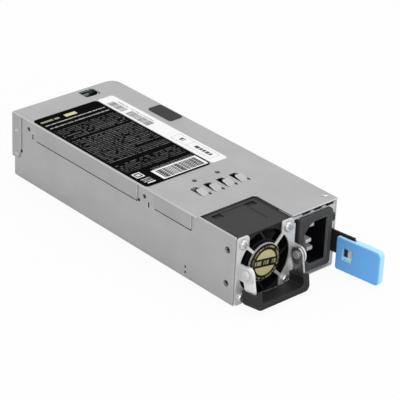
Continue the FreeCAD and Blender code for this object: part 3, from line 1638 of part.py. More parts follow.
def output_card():
    """The card whose edge plugs into the server's backplane."""
    card = Piece("output_card")
    left, front = across(s.card_left), REAR - s.card_front
    outline = rectangle(left, front, left + s.card_width, REAR + s.card_out, s.board_sheet)
    card.slab("XY", [outline], s.card_bottom, s.card_bottom + s.board_sheet)


def card_contacts():
    """The flat contacts on both faces of the card's edge."""
    contacts = Piece("card_contacts")
    run = s.contact_pitch * (s.contact_count - 1) + s.contact_width
    first = across(s.card_left) + (s.card_width - run) / 2
    end = REAR + s.card_out - s.board_sheet
    start = end - s.contact_length
    top = s.card_bottom + s.board_sheet
    over = contacts.block((first, start, top), (first + s.contact_width, end, top + s.contact_sheet))
    under_low = (first, start, s.card_bottom - s.contact_sheet)
    under = contacts.block(under_low, (first + s.contact_width, end, s.card_bottom))
    contacts.row([over, under], "X", s.contact_count, s.contact_pitch)


def output_busbars():
    """The copper bars that lift the current from the main board to the card."""
    run = s.busbar_pitch * (s.busbar_count - 1) + s.busbar_sheet
    first = across(s.card_left) + (s.card_width - run) / 2
    bars = Piece("output_busbars")
    start = REAR - s.card_front + s.busbar_sheet
    top = s.card_bottom - s.shaft_fit
    bar = bars.block((first, start, SEAT), (first + s.busbar_sheet, start + s.busbar_width, top))
    bars.row([bar], "X", s.busbar_count, s.busbar_pitch)


def fan_lead():
    """The fan's short lead: parallel wires from its frame to the plug."""
    start = FAN_FRONT + s.fan_depth + s.shaft_fit
    lead = Piece("fan_lead", place=(across(s.lead_left), start, s.lead_height))
    length = back(s.board_front) + s.plug_length / 2 - start
    wire = lead.rod((0, 0, 0), "y", s.lead_radius, length)
    lead.row([wire], "X", s.lead_count, s.lead_pitch)


def fan_plug():
    """The fan lead's plug and header on the main board."""
    run = s.lead_pitch * (s.lead_count - 1)
    left = across(s.lead_left) - s.lead_pitch
    start = back(s.board_front) + s.plug_length / 2 + s.shaft_fit
    plug = Piece("fan_plug")
    high = (left + run + s.lead_pitch * 2, start + s.plug_length, SEAT + s.plug_height)
    plug.block((left, start, SEAT), high)


def check_and_write():
    """Stop on any failed object or bad shape, then write one file per sub-part."""
    DOC.recompute()
    failed = [o.Label for o in DOC.Objects if {"Invalid", "Error"} & set(o.State)]
    if failed:
        raise RuntimeError("failed objects: " + ", ".join(failed))
    for piece in Piece.all:
        shape = piece.body.Shape
        if shape.isNull() or not shape.isValid() or not shape.Solids:
            raise RuntimeError("bad shape: " + piece.body.Label)
    os.makedirs("parts", exist_ok=True)
    for piece in Piece.all:
        piece.body.Shape.exportStep(f"parts/{piece.body.Label}.step")
        solids = len(piece.body.Shape.Solids)
        print(f"{piece.body.Label:24s} {solids:3d} solids {piece.body.Shape.Volume:12.1f} mm3")


def build():
    """Build every sub-part of the supply."""
    driving_sheet()
    for case_part in (chassis_tray, top_lid, rear_panel, front_panel, case_rivets):
        case_part()
    for fan_part in (fan_guard, guard_badge, fan_frame, fan_rotor, fan_stator, fan_screws):
        fan_part()
    for inlet_part in (inlet_housing, inlet_pins, inlet_board, status_lamp):
        inlet_part()
    handle_arm("handle_arm_left", -1)
    handle_arm("handle_arm_right", 1)
    for front_part in (handle_grip, handle_rivets, latch_spring, latch_tab, latch_rivets):
        front_part()
    lid_label("rating_label", s.label_left, s.label_width, s.label_front, s.label_length, s.label_sheet)
    lid_label("strip_label", s.strip_left, s.strip_width, s.label_front, s.label_length, s.label_sheet)
    lid_label("lid_patch", s.patch_left, s.patch_width, s.patch_front, s.patch_length, s.patch_sheet)
    for board_part in (main_board, insulation_sheet, board_standoffs, board_screws):
        board_part()
    for power_part in (bulk_capacitors, choke_core, choke_winding, filter_core, filter_windings):
        power_part()
    for power_part in (x_capacitor, line_fuse, primary_heatsink, secondary_heatsink, power_switches):
        power_part()
    for output_part in (transformer_core, transformer_winding, output_capacitors, control_board):
        output_part()
    for output_part in (output_card, card_contacts, output_busbars, fan_lead, fan_plug):
        output_part()
    check_and_write()


build()
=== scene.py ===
import logging
import math
from dataclasses import dataclass, field
from enum import Enum
from functools import cache
from typing import Any, Callable, Optional, Union

import bmesh
import bpy
import numpy as np
from mathutils import Matrix, Vector


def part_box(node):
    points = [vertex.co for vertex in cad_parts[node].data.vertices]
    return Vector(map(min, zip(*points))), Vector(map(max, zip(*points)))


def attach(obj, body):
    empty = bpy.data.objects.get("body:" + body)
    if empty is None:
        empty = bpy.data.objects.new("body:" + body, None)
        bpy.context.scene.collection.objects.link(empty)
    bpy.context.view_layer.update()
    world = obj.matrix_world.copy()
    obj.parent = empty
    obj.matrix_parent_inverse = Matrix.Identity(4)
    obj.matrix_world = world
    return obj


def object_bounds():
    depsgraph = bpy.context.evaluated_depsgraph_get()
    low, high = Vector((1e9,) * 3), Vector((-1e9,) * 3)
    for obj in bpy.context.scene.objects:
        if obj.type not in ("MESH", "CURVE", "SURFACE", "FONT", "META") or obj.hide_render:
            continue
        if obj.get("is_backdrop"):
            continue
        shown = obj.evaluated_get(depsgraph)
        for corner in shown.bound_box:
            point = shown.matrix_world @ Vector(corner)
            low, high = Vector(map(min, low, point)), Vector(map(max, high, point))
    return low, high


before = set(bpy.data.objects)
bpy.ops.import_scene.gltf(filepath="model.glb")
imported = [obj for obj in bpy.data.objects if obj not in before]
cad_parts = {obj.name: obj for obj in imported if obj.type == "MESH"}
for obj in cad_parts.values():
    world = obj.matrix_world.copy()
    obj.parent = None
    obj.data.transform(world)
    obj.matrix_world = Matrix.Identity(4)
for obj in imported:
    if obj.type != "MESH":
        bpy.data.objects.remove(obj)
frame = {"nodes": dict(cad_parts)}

LOG = logging.getLogger("power_supply")
MM = 0.001
LEFT, RIGHT = -36.75, 36.75
FRONT = -92.5

Pair = tuple[float, float]
Rgb = tuple[float, float, float]
Box = tuple[float, float, float, float]
Rows = tuple[Box, float, float, float]
Value = Union["Wire", float, Rgb]


class Along(Enum):
    """An axis of the case's frame."""

    X = 0
    Y = 1
    Z = 2

    def rest(self) -> list[int]:
        """The other two axes, in order."""
        return [axis.value for axis in Along if axis is not self]


def grey(level: float) -> Rgb:
    """A neutral colour of one level."""
    return (level, level, level)


# ---------------------------------------------------------------- shader sums


def operator(kind: str, swapped: bool = False) -> Callable[..., "Wire"]:
    """A method for sums in Python.

    Args:
        kind: The operation of the Math node that it adds.
        swapped: Whether the other value comes first.

    Returns:
        The method, from a wire and further values to the node's output.
    """

    def method(self: "Wire", *others: Value) -> "Wire":
        """Add the Math node."""
        values = (*others, self) if swapped else (self, *others)
        return self.shader.node("ShaderNodeMath", {"operation": kind}, dict(enumerate(values)))

    return method


class Wire:
    """A socket of a material that takes part in Python sums.

    A comparison gives 1 where it holds and 0 elsewhere. The named methods round down to the whole
    part, keep what is above it, take the square root, keep the smaller or the larger of two values,
    and give the angle whose tangent is this wire over another.
    """

    def __init__(self, shader: "Shader", socket: bpy.types.NodeSocket) -> None:
        """Keep the socket and the shader that its Math nodes are added to."""
        self.shader = shader
        self.socket = socket

    __add__ = __radd__ = operator("ADD")
    __mul__ = __rmul__ = operator("MULTIPLY")
    __sub__ = operator("SUBTRACT")
    __rsub__ = operator("SUBTRACT", True)
    __truediv__ = operator("DIVIDE")
    __rtruediv__ = operator("DIVIDE", True)
    __gt__ = operator("GREATER_THAN")
    __lt__ = operator("LESS_THAN")
    __abs__ = operator("ABSOLUTE")
    floor = operator("FLOOR")
    part = operator("FRACT")
    root = operator("SQRT")
    lowest = operator("MINIMUM")
    highest = operator("MAXIMUM")
    angle = operator("ARCTAN2")

    def ramp(self, low: float, high: float) -> "Wire":
        """0 below low, 1 above high, and smooth between."""
        settings = {"interpolation_type": "SMOOTHSTEP"}
        return self.shader.node("ShaderNodeMapRange", settings, {0: self, 1: low, 2: high})

    def between(self, low: Value, high: Value) -> "Wire":
        """1 between two values, and 0 elsewhere."""
        return (self > low) * (self < high)


class Shader:
    """The node tree of one material or world, with the places that its patterns read."""

    def __init__(self, owner: Union[bpy.types.Material, bpy.types.World]) -> None:
        """Empty the owner's node tree and give it an output.

        Args:
            owner: The material or world.
        """
        owner.use_nodes = True
        self.owner = owner
        self.tree = owner.node_tree
        self.tree.nodes.clear()
        kind = "ShaderNodeOutputWorld" if isinstance(owner, bpy.types.World) else "ShaderNodeOutputMaterial"
        self.output = self.tree.nodes.new(kind)

    def node(
        self,
        kind: str,
        settings: Optional[dict[str, Any]] = None,
        inputs: Optional[dict[Union[int, str], Value]] = None,
        output: Union[int, str] = 0,
    ) -> Wire:
        """Add a node.

        Args:
            kind: The node's type.
            settings: Its own settings, set first; "stops" are those of a stepped colour ramp.
            inputs: Values or links by socket.
            output: The socket to return.

        Returns:
            That output socket.
        """
        made = self.tree.nodes.new(kind)
        for key, value in (settings or {}).items():
            if key == "stops":
                self._fill_ramp(made.color_ramp, value)
            else:
                setattr(made, key, value)
        for key, value in (inputs or {}).items():
            self._feed(made.inputs[key], value)
        return Wire(self, made.outputs[output])

    def _fill_ramp(self, ramp: bpy.types.ColorRamp, stops: list[tuple[float, Rgb]]) -> None:
        """Set a ramp's steps as (place, colour) pairs.

        Args:
            ramp: The node's ramp.
            stops: Its steps, each a place and a colour.
        """
        ramp.interpolation = "CONSTANT"
        while len(ramp.elements) < len(stops):
            ramp.elements.new(1.0)
        for element, (place, colour) in zip(ramp.elements, stops):
            element.position = place
            element.color = (*colour, 1.0)

    def _feed(self, socket: bpy.types.NodeSocket, value: Value) -> None:
        """Link a wire to a socket, or set the socket's own value.

        Args:
            socket: The socket.
            value: A wire, or the value of the socket.
        """
        if isinstance(value, Wire):
            self.tree.links.new(value.socket, socket)
        elif isinstance(value, tuple) and socket.type == "RGBA":
            socket.default_value = (*value, 1.0)
        else:
            socket.default_value = value

    def place(self, stretch: Rgb = (1.0, 1.0, 1.0)) -> Wire:
        """The point in millimetres in the case's frame, stretched along each axis.

        Args:
            stretch: How many units a millimetre counts on each axis.

        Returns:
            The point.
        """
        point = self.node("ShaderNodeTexCoord", output="Object")
        sized = tuple(s / MM for s in stretch)
        return self.node("ShaderNodeVectorMath", {"operation": "MULTIPLY"}, {0: point, 1: sized})

    def normal(self) -> Wire:
        """The surface's own normal."""
        return self.node("ShaderNodeNewGeometry", output="Normal")

    def xyz(self, vector: Optional[Wire] = None) -> tuple[Wire, Wire, Wire]:
        """The three parts of a vector, or of the point in millimetres.

        Args:
            vector: The vector, or none for the point.

        Returns:
            The three parts.
        """
        split = self.node("ShaderNodeSeparateXYZ", None, {0: vector or self.place()})
        outputs = split.socket.node.outputs
        return tuple(Wire(self, outputs[i]) for i in range(3))

    def vector(self, x: Value, y: Value, z: Value) -> Wire:
        """A vector of three values."""
        return self.node("ShaderNodeCombineXYZ", None, {0: x, 1: y, 2: z})

    def noise(
        self, scale: float, detail: float = 2.0, rough: float = 0.5, where: Optional[Wire] = None
    ) -> Wire:
        """Smooth noise from 0 to 1.

        Args:
            scale: About how many features there are in a unit.
            detail: How many finer layers it has.
            rough: How strong the finer layers are.
            where: The place that it reads, or none for the point in millimetres.

        Returns:
            The noise.
        """
        inputs = {"Vector": where or self.place(), "Scale": scale, "Detail": detail, "Roughness": rough}
        return self.node("ShaderNodeTexNoise", None, inputs)

    def chance(self, x: Value, y: Value = 0.0) -> Wire:
        """An even random number from 0 to 1 for each pair of values."""
        where = self.vector(x, y, 0.0)
        return self.node("ShaderNodeTexWhiteNoise", {"noise_dimensions": "2D"}, {"Vector": where})

    def mix(self, share: Value, low: Value, high: Value) -> Wire:
        """A colour between two colours."""
        return self.node("ShaderNodeMix", {"data_type": "RGBA"}, {0: share, 6: low, 7: high}, 2)

    def edges(self, radius: float) -> tuple[Wire, Wire]:
        """The normal rounded over each edge, and a mask of the edges.

        Args:
            radius: The rounding's radius in millimetres.

        Returns:
            The rounded normal, and a mask that is 0 on a flat and rises to 1 at an edge.
        """
        rounded = self.node("ShaderNodeBevel", {"samples": 6}, {"Radius": radius * MM})
        return rounded, (1.0 - self.cosine(rounded, self.normal())).ramp(0.002, 0.12)

    def cosine(self, first: Wire, second: Value) -> Wire:
        """The dot product of two directions."""
        inputs = {0: first, 1: second}
        return self.node("ShaderNodeVectorMath", {"operation": "DOT_PRODUCT"}, inputs, 1)

    def bump(self, height: Wire, depth: float, normal: Optional[Wire] = None) -> Wire:
        """A normal from a height of 0 to 1 that stands for so many millimetres.

        Args:
            height: The height.
            depth: The millimetres that a height of 1 stands for.
            normal: The normal that it goes on, or none for the surface's own.

        Returns:
            The normal.
        """
        inputs: dict[Union[int, str], Value] = {"Height": height, "Distance": depth * MM}
        if normal is not None:
            inputs["Normal"] = normal
        return self.node("ShaderNodeBump", None, inputs)

    def paths(self, *kinds: str) -> Wire:
        """1 for rays of any of these kinds, and 0 for the rest."""
        path = self.node("ShaderNodeLightPath").socket.node
        return sum(Wire(self, path.outputs[kind]) for kind in kinds).lowest(1.0)

    def close(self, surface: Wire) -> None:
        """Link a shader to the output."""
        self.tree.links.new(surface.socket, self.output.inputs["Surface"])

    def finish(
        self, colour: Wire, gloss: Wire, relief: Optional[Wire] = None, **sockets: Value
    ) -> bpy.types.Material:
        """Close the material with one shader.

        Args:
            colour: Its base colour.
            gloss: Its roughness.
            relief: Its normal, where it has relief.
            sockets: Further values or links by socket name, with _ for a space.

        Returns:
            The finished material.
        """
        inputs: dict[Union[int, str], Value] = {"Base Color": colour, "Roughness": gloss}
        if relief is not None:
            inputs["Normal"] = relief
        inputs.update((key.replace("_", " "), value) for key, value in sockets.items())
        self.close(self.node("ShaderNodeBsdfPrincipled", None, inputs))
        return self.owner


# ------------------------------------------------------------------- finishes


@dataclass(frozen=True)
class Finish:
    """A surface finish that can dress any piece."""

    name: str

    def build(self, shader: Shader) -> bpy.types.Material:
        """Fill the shader and return its material."""
        raise NotImplementedError

    @cache
    def material(self) -> bpy.types.Material:
        """This finish's material, made once."""
        return self.build(Shader(bpy.data.materials.new(self.name)))


@dataclass(frozen=True)
class SheetSteel(Finish):
    """Zinc plated steel sheet: rolled grain, faint clouding, bright edges that are partly wear and partly
    painted highlight, and painted highlight on end faces and upper folds.
    """

    dark: Rgb = (0.37, 0.37, 0.372)
    light: Rgb = (0.46, 0.46, 0.462)
    wear_and_highlight: Rgb = (0.86, 0.86, 0.86)
    rough: float = 0.42
    metal: float = 0.75
    edge: float = 0.35
    # painted highlight: its strength on end faces and upper folds
    end_and_fold_highlight: float = 0.0
    fold_above: float = 39.25
    fold_within: float = 34.0
    outer_fold: float = 0.45

    def build(self, shader: Shader) -> bpy.types.Material:
        """Streaks along the sheet over slow clouds, bright edges that are partly wear and partly painted
        highlight, and painted highlight on the ends and upper folds.

        Args:
            shader: Its material's empty node tree.

        Returns:
            The material.
        """
        grain = shader.noise(1.0, 3.0, where=shader.place((5.0, 0.12, 5.0)))
        cloud = shader.noise(0.06)
        speck = shader.noise(2.6, 2.0, 0.7)
        share = (grain * 0.45 + cloud * 0.4 + speck * 0.25 - 0.05).ramp(0.2, 0.8)
        normal, rim = shader.edges(self.edge)
        _, ahead, up = shader.xyz(shader.normal())
        x, _, z = shader.xyz()
        upright = (z > self.fold_above) * (abs(up) < 0.9)
        fold = self.outer_fold + (abs(x) < self.fold_within) * (1.0 - self.outer_fold)
        # painted highlight: faces towards front or back, and upright faces near the top, weaker at the outer
        # folds
        highlight_faces = (abs(ahead) > 0.9).highest(upright * fold)
        rim = (rim * 0.7).highest(highlight_faces * self.end_and_fold_highlight)
        # edges mixed towards bright steel: partly wear and partly painted highlight
        colour = shader.mix(rim, shader.mix(share, self.dark, self.light), self.wear_and_highlight)
        gloss = self.rough + (grain - 0.5) * 0.16 + (cloud - 0.5) * 0.12 - rim * 0.12
        relief = shader.bump(grain * 0.7 + speck * 0.3, 0.012, normal)
        return shader.finish(colour, gloss, relief, Metallic=self.metal)


@dataclass(frozen=True)
class PlatedSteel(Finish):
    """Bright plated steel of stamped and turned small pieces."""

    dark: Rgb = (0.50, 0.50, 0.51)
    light: Rgb = (0.74, 0.74, 0.75)
    rough: float = 0.27
    metal: float = 0.9
    edge: float = 0.2

    def build(self, shader: Shader) -> bpy.types.Material:
        """Fine tumbling marks in colour and gloss, and a painted highlight that brightens the edges.

        Args:
            shader: Its material's empty node tree.

        Returns:
            The material.
        """
        marks = shader.noise(1.4, 4.0, 0.6)
        fine = shader.noise(4.0, where=shader.place((1.0, 1.0, 4.0)))
        normal, rim = shader.edges(self.edge)
        share = (marks * 0.7 + fine * 0.3).ramp(0.3, 0.7)
        # painted highlight: edges mixed towards bright grey
        colour = shader.mix(rim * 0.6, shader.mix(share, self.dark, self.light), grey(0.9))
        gloss = self.rough + (fine - 0.5) * 0.18 + (marks - 0.5) * 0.1
        relief = shader.bump(marks, 0.01, normal)
        return shader.finish(colour, gloss, relief, Metallic=self.metal)


@dataclass(frozen=True)
class Moulded(Finish):
    """Moulded plastic: fine spark texture, faint flow clouds, paler edges as painted highlight, and painted
    shade where a subclass masks it.
    """

    colour: Rgb = grey(0.02)
    pale: Rgb = grey(0.05)
    rough: float = 0.5
    texture: float = 5.0
    relief: float = 0.02
    edge: float = 0.3
    rim: float = 0.8
    shine: float = 0.25

    def painted_shade(self, shader: Shader) -> Optional[Wire]:
        """A mask of painted shade, where the surface is painted near black, if there is any."""
        return None

    def build(self, shader: Shader) -> bpy.types.Material:
        """A fine grain in relief and gloss, and a painted highlight that makes rounded edges paler.

        Args:
            shader: Its material's empty node tree.

        Returns:
            The material.
        """
        grain = shader.noise(self.texture, 2.0, 0.6)
        flow = shader.noise(0.12)
        normal, rim = shader.edges(self.edge)
        # painted highlight: rounded edges paler by the rim share
        share = (rim * self.rim + (grain - 0.5) * 0.3 + (flow - 0.5) * 0.4).ramp(0.0, 1.0)
        colour = shader.mix(share, self.colour, self.pale)
        # painted shade: masked parts painted near black, a little lighter at their edges
        painted_shade = self.painted_shade(shader)
        if painted_shade is not None:
            colour = shader.mix(painted_shade, colour, shader.mix(rim * 0.6, grey(0.003), grey(0.018)))
        gloss = self.rough + (grain - 0.5) * 0.2 + (flow - 0.5) * 0.1 - rim * 0.1
        relief = shader.bump(grain, self.relief, normal)
        return shader.finish(colour, gloss, relief, Specular_IOR_Level=self.shine)


@dataclass(frozen=True)
class FanPlastic(Moulded):
    """The fan frame: grey outside, with painted shade that makes it black in the bore, on the front and in
    the top's dents.
    """

    low: Rgb = (0.0, 0.0, 0.0)
    high: Rgb = (1.0, 1.0, 1.0)
    bore: float = 18.3
    margin: float = 3.5
    dent: Pair = (1.2, 0.35)

    def painted_shade(self, shader: Shader) -> Optional[Wire]:
        """Painted shade: 1 within the bore's radius of the fan's axis and on the frame's front, and 0.7 in
        the dents.

        Args:
            shader: The material's node tree.

        Returns:
            The mask.
        """
        x, y, z = shader.xyz()
        right, up = x - (self.low[0] + self.high[0]) / 2, z - (self.low[2] + self.high[2]) / 2
        within = 1.0 - (right * right + up * up).root().ramp(self.bore - 0.3, self.bore)
        ahead = shader.xyz(shader.normal())[1] < -0.8
        inside = x.between(self.low[0] + self.margin, self.high[0] - self.margin)
        sunk = z.between(self.high[2] - self.dent[0], self.high[2] - self.dent[1])
        dent = inside * sunk * (y > self.low[1] + self.margin)
        return within.highest(ahead).highest(dent * 0.7)


@dataclass(frozen=True)
class InletPlastic(Moulded):
    """The inlet body: satin flange, and painted shade that turns the socket behind it near black."""

    low: Rgb = (0.0, 0.0, 0.0)
    high: Rgb = (1.0, 1.0, 1.0)

    def painted_shade(self, shader: Shader) -> Optional[Wire]:
        """Painted shade: 1 inside the socket's box.

        Args:
            shader: The material's node tree.

        Returns:
            The mask.
        """
        x, y, z = shader.xyz()
        across = x.between(self.low[0], self.high[0]) * z.between(self.low[2], self.high[2])
        return across * y.ramp(self.low[1], self.low[1] + 1.0)


@dataclass(frozen=True)
class TouchPlastic(Finish):
    """The blue finger tab: semi gloss plastic, with a painted highlight that makes it paler where the surface
    turns away from its flat sides.
    """

    deep: Rgb = (0.150, 0.465, 0.93)
    pale: Rgb = (0.44, 0.80, 1.0)
    splay: float = 8.0

    def build(self, shader: Shader) -> bpy.types.Material:
        """A painted highlight, paler where the surface turns away from the tab's flat sides, over a soft flow
        pattern.

        Args:
            shader: Its material's empty node tree.

        Returns:
            The material.
        """
        normal, _ = shader.edges(0.9)
        turn = math.radians(self.splay)
        side = (math.cos(turn), math.sin(turn), 0.0)
        # painted highlight: paler where the normal turns away from the flat sides
        rim = 1.0 - abs(shader.cosine(normal, side)).ramp(0.35, 0.99)
        flow = shader.noise(0.25, 3.0)
        grain = shader.noise(6.0)
        share = (rim * 0.9 + (flow - 0.5) * 0.22 + (grain - 0.5) * 0.08).ramp(0.0, 1.0)
        colour = shader.mix(share, self.deep, self.pale)
        gloss = 0.36 + (grain - 0.5) * 0.12 + (flow - 0.5) * 0.08
        relief = shader.bump(grain, 0.01, normal)
        return shader.finish(colour, gloss, relief, Subsurface_Weight=0.15, Subsurface_Scale=0.001)


class Print:
    """Printed marks on a flat label, worked out from two places on it in millimetres."""

    def __init__(self, shader: Shader, across: Wire, down: Wire) -> None:
        """Keep the shader and the two places.

        Args:
            shader: The material's node tree.
            across: Place across the label.
            down: Place down the label.
        """
        self.shader = shader
        self.across = across
        self.down = down

    def block(self, left: float, right: float, top: float, bottom: float) -> Wire:
        """A mask of a rectangle."""
        return self.across.between(left, right) * self.down.between(top, bottom)

    def rows(self, box: Box, pitch: float, fill: float, seed: float) -> Wire:
        """A mask of rows of short dashes that stand for print.

        Args:
            box: Left, right, top and bottom of the rows.
            pitch: Distance between rows.
            fill: Share of each row that holds dashes.
            seed: Makes each block's dashes different.

        Returns:
            The mask.
        """
        line = (self.down / pitch).floor()
        inside = (self.down / pitch).part().between(0.25, 0.72)
        where = self.shader.vector(self.across * 1.1, line * 7.31 + seed, seed)
        words = self.shader.noise(0.42, 0.0, where=where) > (1.0 - fill)
        letters = self.shader.noise(3.1, 0.0, where=where).ramp(0.32, 0.5)
        weight = 0.45 + self.shader.chance(line, seed) * 0.75
        return self.block(*box) * inside * words * letters * weight

    def paragraphs(self, tables: tuple[Rows, ...]) -> Wire:
        """A mask of several groups of rows."""
        return sum(self.rows(*table) for table in tables)

    def bars(self, box: Box, along: Wire, pitch: float) -> Wire:
        """A mask of plain bars: one at each step, of a random width from half to nine tenths of it.

        Args:
            box: Left, right, top and bottom of the bars.
            along: The place along the row of bars.
            pitch: Distance between bars.

        Returns:
            The mask.
        """
        step = along / pitch
        width = 0.5 + self.shader.chance(step.floor(), 3.0) * 0.4
        return self.block(*box) * (step.part() < width)

    def words(self, box: Box, pitch: float, seed: float) -> Wire:
        """A mask of one row of heavy marks with random gaps."""
        return self.block(*box) * (self.shader.chance((self.across / pitch).floor(), seed) > 0.22)

    def frame(self, left: float, right: float, top: float, bottom: float, line: float) -> Wire:
        """A mask of a rectangle's outline."""
        inner = self.block(left + line, right - line, top + line, bottom - line)
        return self.block(left, right, top, bottom) - inner


@dataclass(frozen=True)
class RatingPrint(Finish):
    """The dark lid label: plain light bars, rows of dashes and a block of bars."""

    left: float = -35.85
    rear: float = 75.1
    black: Rgb = grey(0.002)
    text: Rgb = grey(0.15)
    print_rows: tuple[Rows, ...] = (
        ((1.5, 44.0, 18.0, 31.0), 1.75, 0.62, 1.0),
        ((1.5, 44.0, 33.0, 66.5), 1.75, 0.68, 4.0),
        ((1.5, 43.5, 69.5, 80.5), 1.75, 0.62, 9.0),
    )
    gaps: tuple[Box, ...] = ((2.5, 15.0, 24.6, 28.6), (31.5, 44.0, 46.4, 47.6), (25.0, 45.0, 58.0, 60.2))
    plain_bar: Box = (3.8, 13.6, 26.0, 27.0)
    divider: Box = (15.6, 16.1, 19.0, 31.0)
    headings: tuple[Rows, ...] = (
        ((1.6, 43.5, 9.4, 11.2), 1.8, 0.9, 2.0),
        ((1.6, 43.5, 12.9, 15.1), 2.15, 0.9, 7.0),
    )
    caption: Rows = ((15.0, 44.0, 83.6, 85.4), 1.8, 0.85, 5.0)
    tile: Box = (18.6, 26.6, 3.9, 6.9)
    title: Box = (2.0, 16.8, 4.4, 6.2)
    white: Box = (13.2, 44.4, 86.0, 97.2)
    bars: Box = (15.0, 42.8, 87.2, 96.4)
    square: Box = (2.2, 7.6, 83.0, 88.4)
    square_middle: Box = (3.6, 6.2, 84.6, 86.8)
    note: Rows = ((2.4, 8.6, 89.6, 94.0), 1.5, 0.8, 6.0)
    note_bar: Box = (3.4, 8.6, 95.0, 96.0)

    def build(self, shader: Shader) -> bpy.types.Material:
        """Lay the marks out from the label's left and rear edges.

        Args:
            shader: Its material's empty node tree.

        Returns:
            The material.
        """
        x, y, _ = shader.xyz()
        art = Print(shader, x - self.left, self.rear - y)
        rows = art.paragraphs(self.print_rows)
        for gap in self.gaps:
            rows = rows * (1.0 - art.block(*gap))
        rows = rows + art.block(*self.plain_bar) * 0.8 + art.block(*self.divider) * 0.7
        headings = art.paragraphs(self.headings) + art.rows(*self.caption) * 0.6
        title = art.block(*self.title) * (shader.chance((x * 0.9).floor(), 1.0) > 0.25)
        white = art.block(*self.white)
        marks = art.frame(*self.square, 0.7) + art.block(*self.square_middle) * 0.8
        marks = marks + art.rows(*self.note) + art.block(*self.note_bar)
        haze = shader.noise(0.9, 3.0)
        colour = shader.mix(haze, self.black, grey(0.004))
        colour = shader.mix(rows.lowest(1.0) * (0.55 + haze * 0.6), colour, self.text)
        colour = shader.mix(headings.lowest(1.0), colour, grey(0.62))
        colour = shader.mix(art.block(*self.tile), colour, (0.62, 0.60, 0.36))
        colour = shader.mix(title * 0.8, colour, (0.42, 0.40, 0.28))
        colour = shader.mix(white.highest(marks.lowest(1.0)), colour, grey(0.86))
        colour = shader.mix(art.bars(self.bars, x, 1.15), colour, grey(0.02))
        relief = shader.bump(shader.noise(0.35, 3.0), 0.03)
        gloss = 0.42 + (haze - 0.5) * 0.14 + white * 0.1
        return shader.finish(colour, gloss, relief, Specular_IOR_Level=0.002)


@dataclass(frozen=True)
class StripPrint(Finish):
    """The white strip: plain bars at the rear and a divided outline at the front."""

    left: float = 10.15
    rear: float = 75.1
    paper: Rgb = grey(0.90)
    ink: Rgb = grey(0.04)
    bars: tuple[Box, ...] = ((1.4, 6.4, 7.0, 20.0), (1.4, 6.8, 23.0, 42.5))
    dashes: Rows = ((9.0, 40.0, 7.5, 9.3), 1.8, 0.7, 3.0)
    frame: Box = (2.4, 9.6, 61.0, 94.0)
    divider: Box = (2.4, 9.6, 73.6, 73.95)
    words: tuple[tuple[Box, float, float], ...] = (
        ((65.6, 70.2, 4.4, 7.6), 0.7, 8.0),
        ((77.5, 91.0, 4.8, 7.4), 0.6, 6.0),
    )

    def build(self, shader: Shader) -> bpy.types.Material:
        """Lay the marks out from the strip's left and rear edges.

        Args:
            shader: Its material's empty node tree.

        Returns:
            The material.
        """
        x, y, _ = shader.xyz()
        right, ahead = x - self.left, self.rear - y
        art, side = Print(shader, right, ahead), Print(shader, ahead, right)
        marks = sum(art.bars(box, y, 1.3) for box in self.bars) * 0.85 + side.rows(*self.dashes) * 0.7
        marks = marks + (art.frame(*self.frame, 0.35) + art.block(*self.divider)) * 0.5
        marks = (marks + sum(side.words(*word) for word in self.words)).lowest(1.0)
        cloud = shader.noise(0.4)
        colour = shader.mix(marks, shader.mix(cloud, self.paper, grey(0.82)), self.ink)
        return shader.finish(colour, 0.5 + (cloud - 0.5) * 0.1, shader.bump(cloud, 0.02))


@dataclass(frozen=True)
class SoftPad(Finish):
    """Thin dark pad with a fine weave."""

    def build(self, shader: Shader) -> bpy.types.Material:
        """Two crossing waves over a slow cloud.

        Args:
            shader: Its material's empty node tree.

        Returns:
            The material.
        """
        x, y, _ = shader.xyz()
        weave = ((x * 2.2).part() > 0.5) * 0.5 + ((y * 2.2).part() > 0.5) * 0.5
        cloud = shader.noise(0.5, 3.0)
        colour = shader.mix(weave * 0.4 + cloud * 0.6, grey(0.018), grey(0.050))
        relief = shader.bump(weave, 0.03)
        return shader.finish(colour, 0.7 + (cloud - 0.5) * 0.2, relief, Specular_IOR_Level=0.2)


@dataclass(frozen=True)
class BadgePrint(Finish):
    """The round plate's face: black, with a ring of plain dashes and a row of them across."""

    middle: tuple[float, float] = (0.0, 0.0)
    tilt: float = 9.0
    ring: Pair = (8.45, 9.45)
    row_half: Pair = (7.4, 1.15)
    gold: Rgb = (0.46, 0.42, 0.21)

    def build(self, shader: Shader) -> bpy.types.Material:
        """The dashes from the way round and the distance to the middle, over a faint haze.

        Args:
            shader: Its material's empty node tree.

        Returns:
            The material.
        """
        x, _, z = shader.xyz()
        right, up = x - self.middle[0], z - self.middle[1]
        radius = (right * right + up * up).root()
        around = right.angle(up)
        dashes = radius.between(*self.ring) * (shader.chance((around * 17.0).floor(), 4.0) > 0.5) * 0.7
        turn = math.radians(self.tilt)
        level = right * math.cos(turn) - up * math.sin(turn)
        over = up * math.cos(turn) + right * math.sin(turn)
        row = (abs(level) < self.row_half[0]) * (abs(over) < self.row_half[1])
        row = row * (shader.chance((level * 1.7).floor(), 7.0) > 0.4)
        haze = shader.noise(0.8, 3.0)
        marks = (dashes + row).lowest(1.0)
        colour = shader.mix(haze, grey(0.003), grey(0.010))
        colour = shader.mix(marks * (0.5 + haze * 0.5), colour, self.gold)
        relief = shader.bump(marks, 0.03)
        gloss = 0.34 + (haze - 0.5) * 0.1
        return shader.finish(colour, gloss, relief, Specular_IOR_Level=0.1)


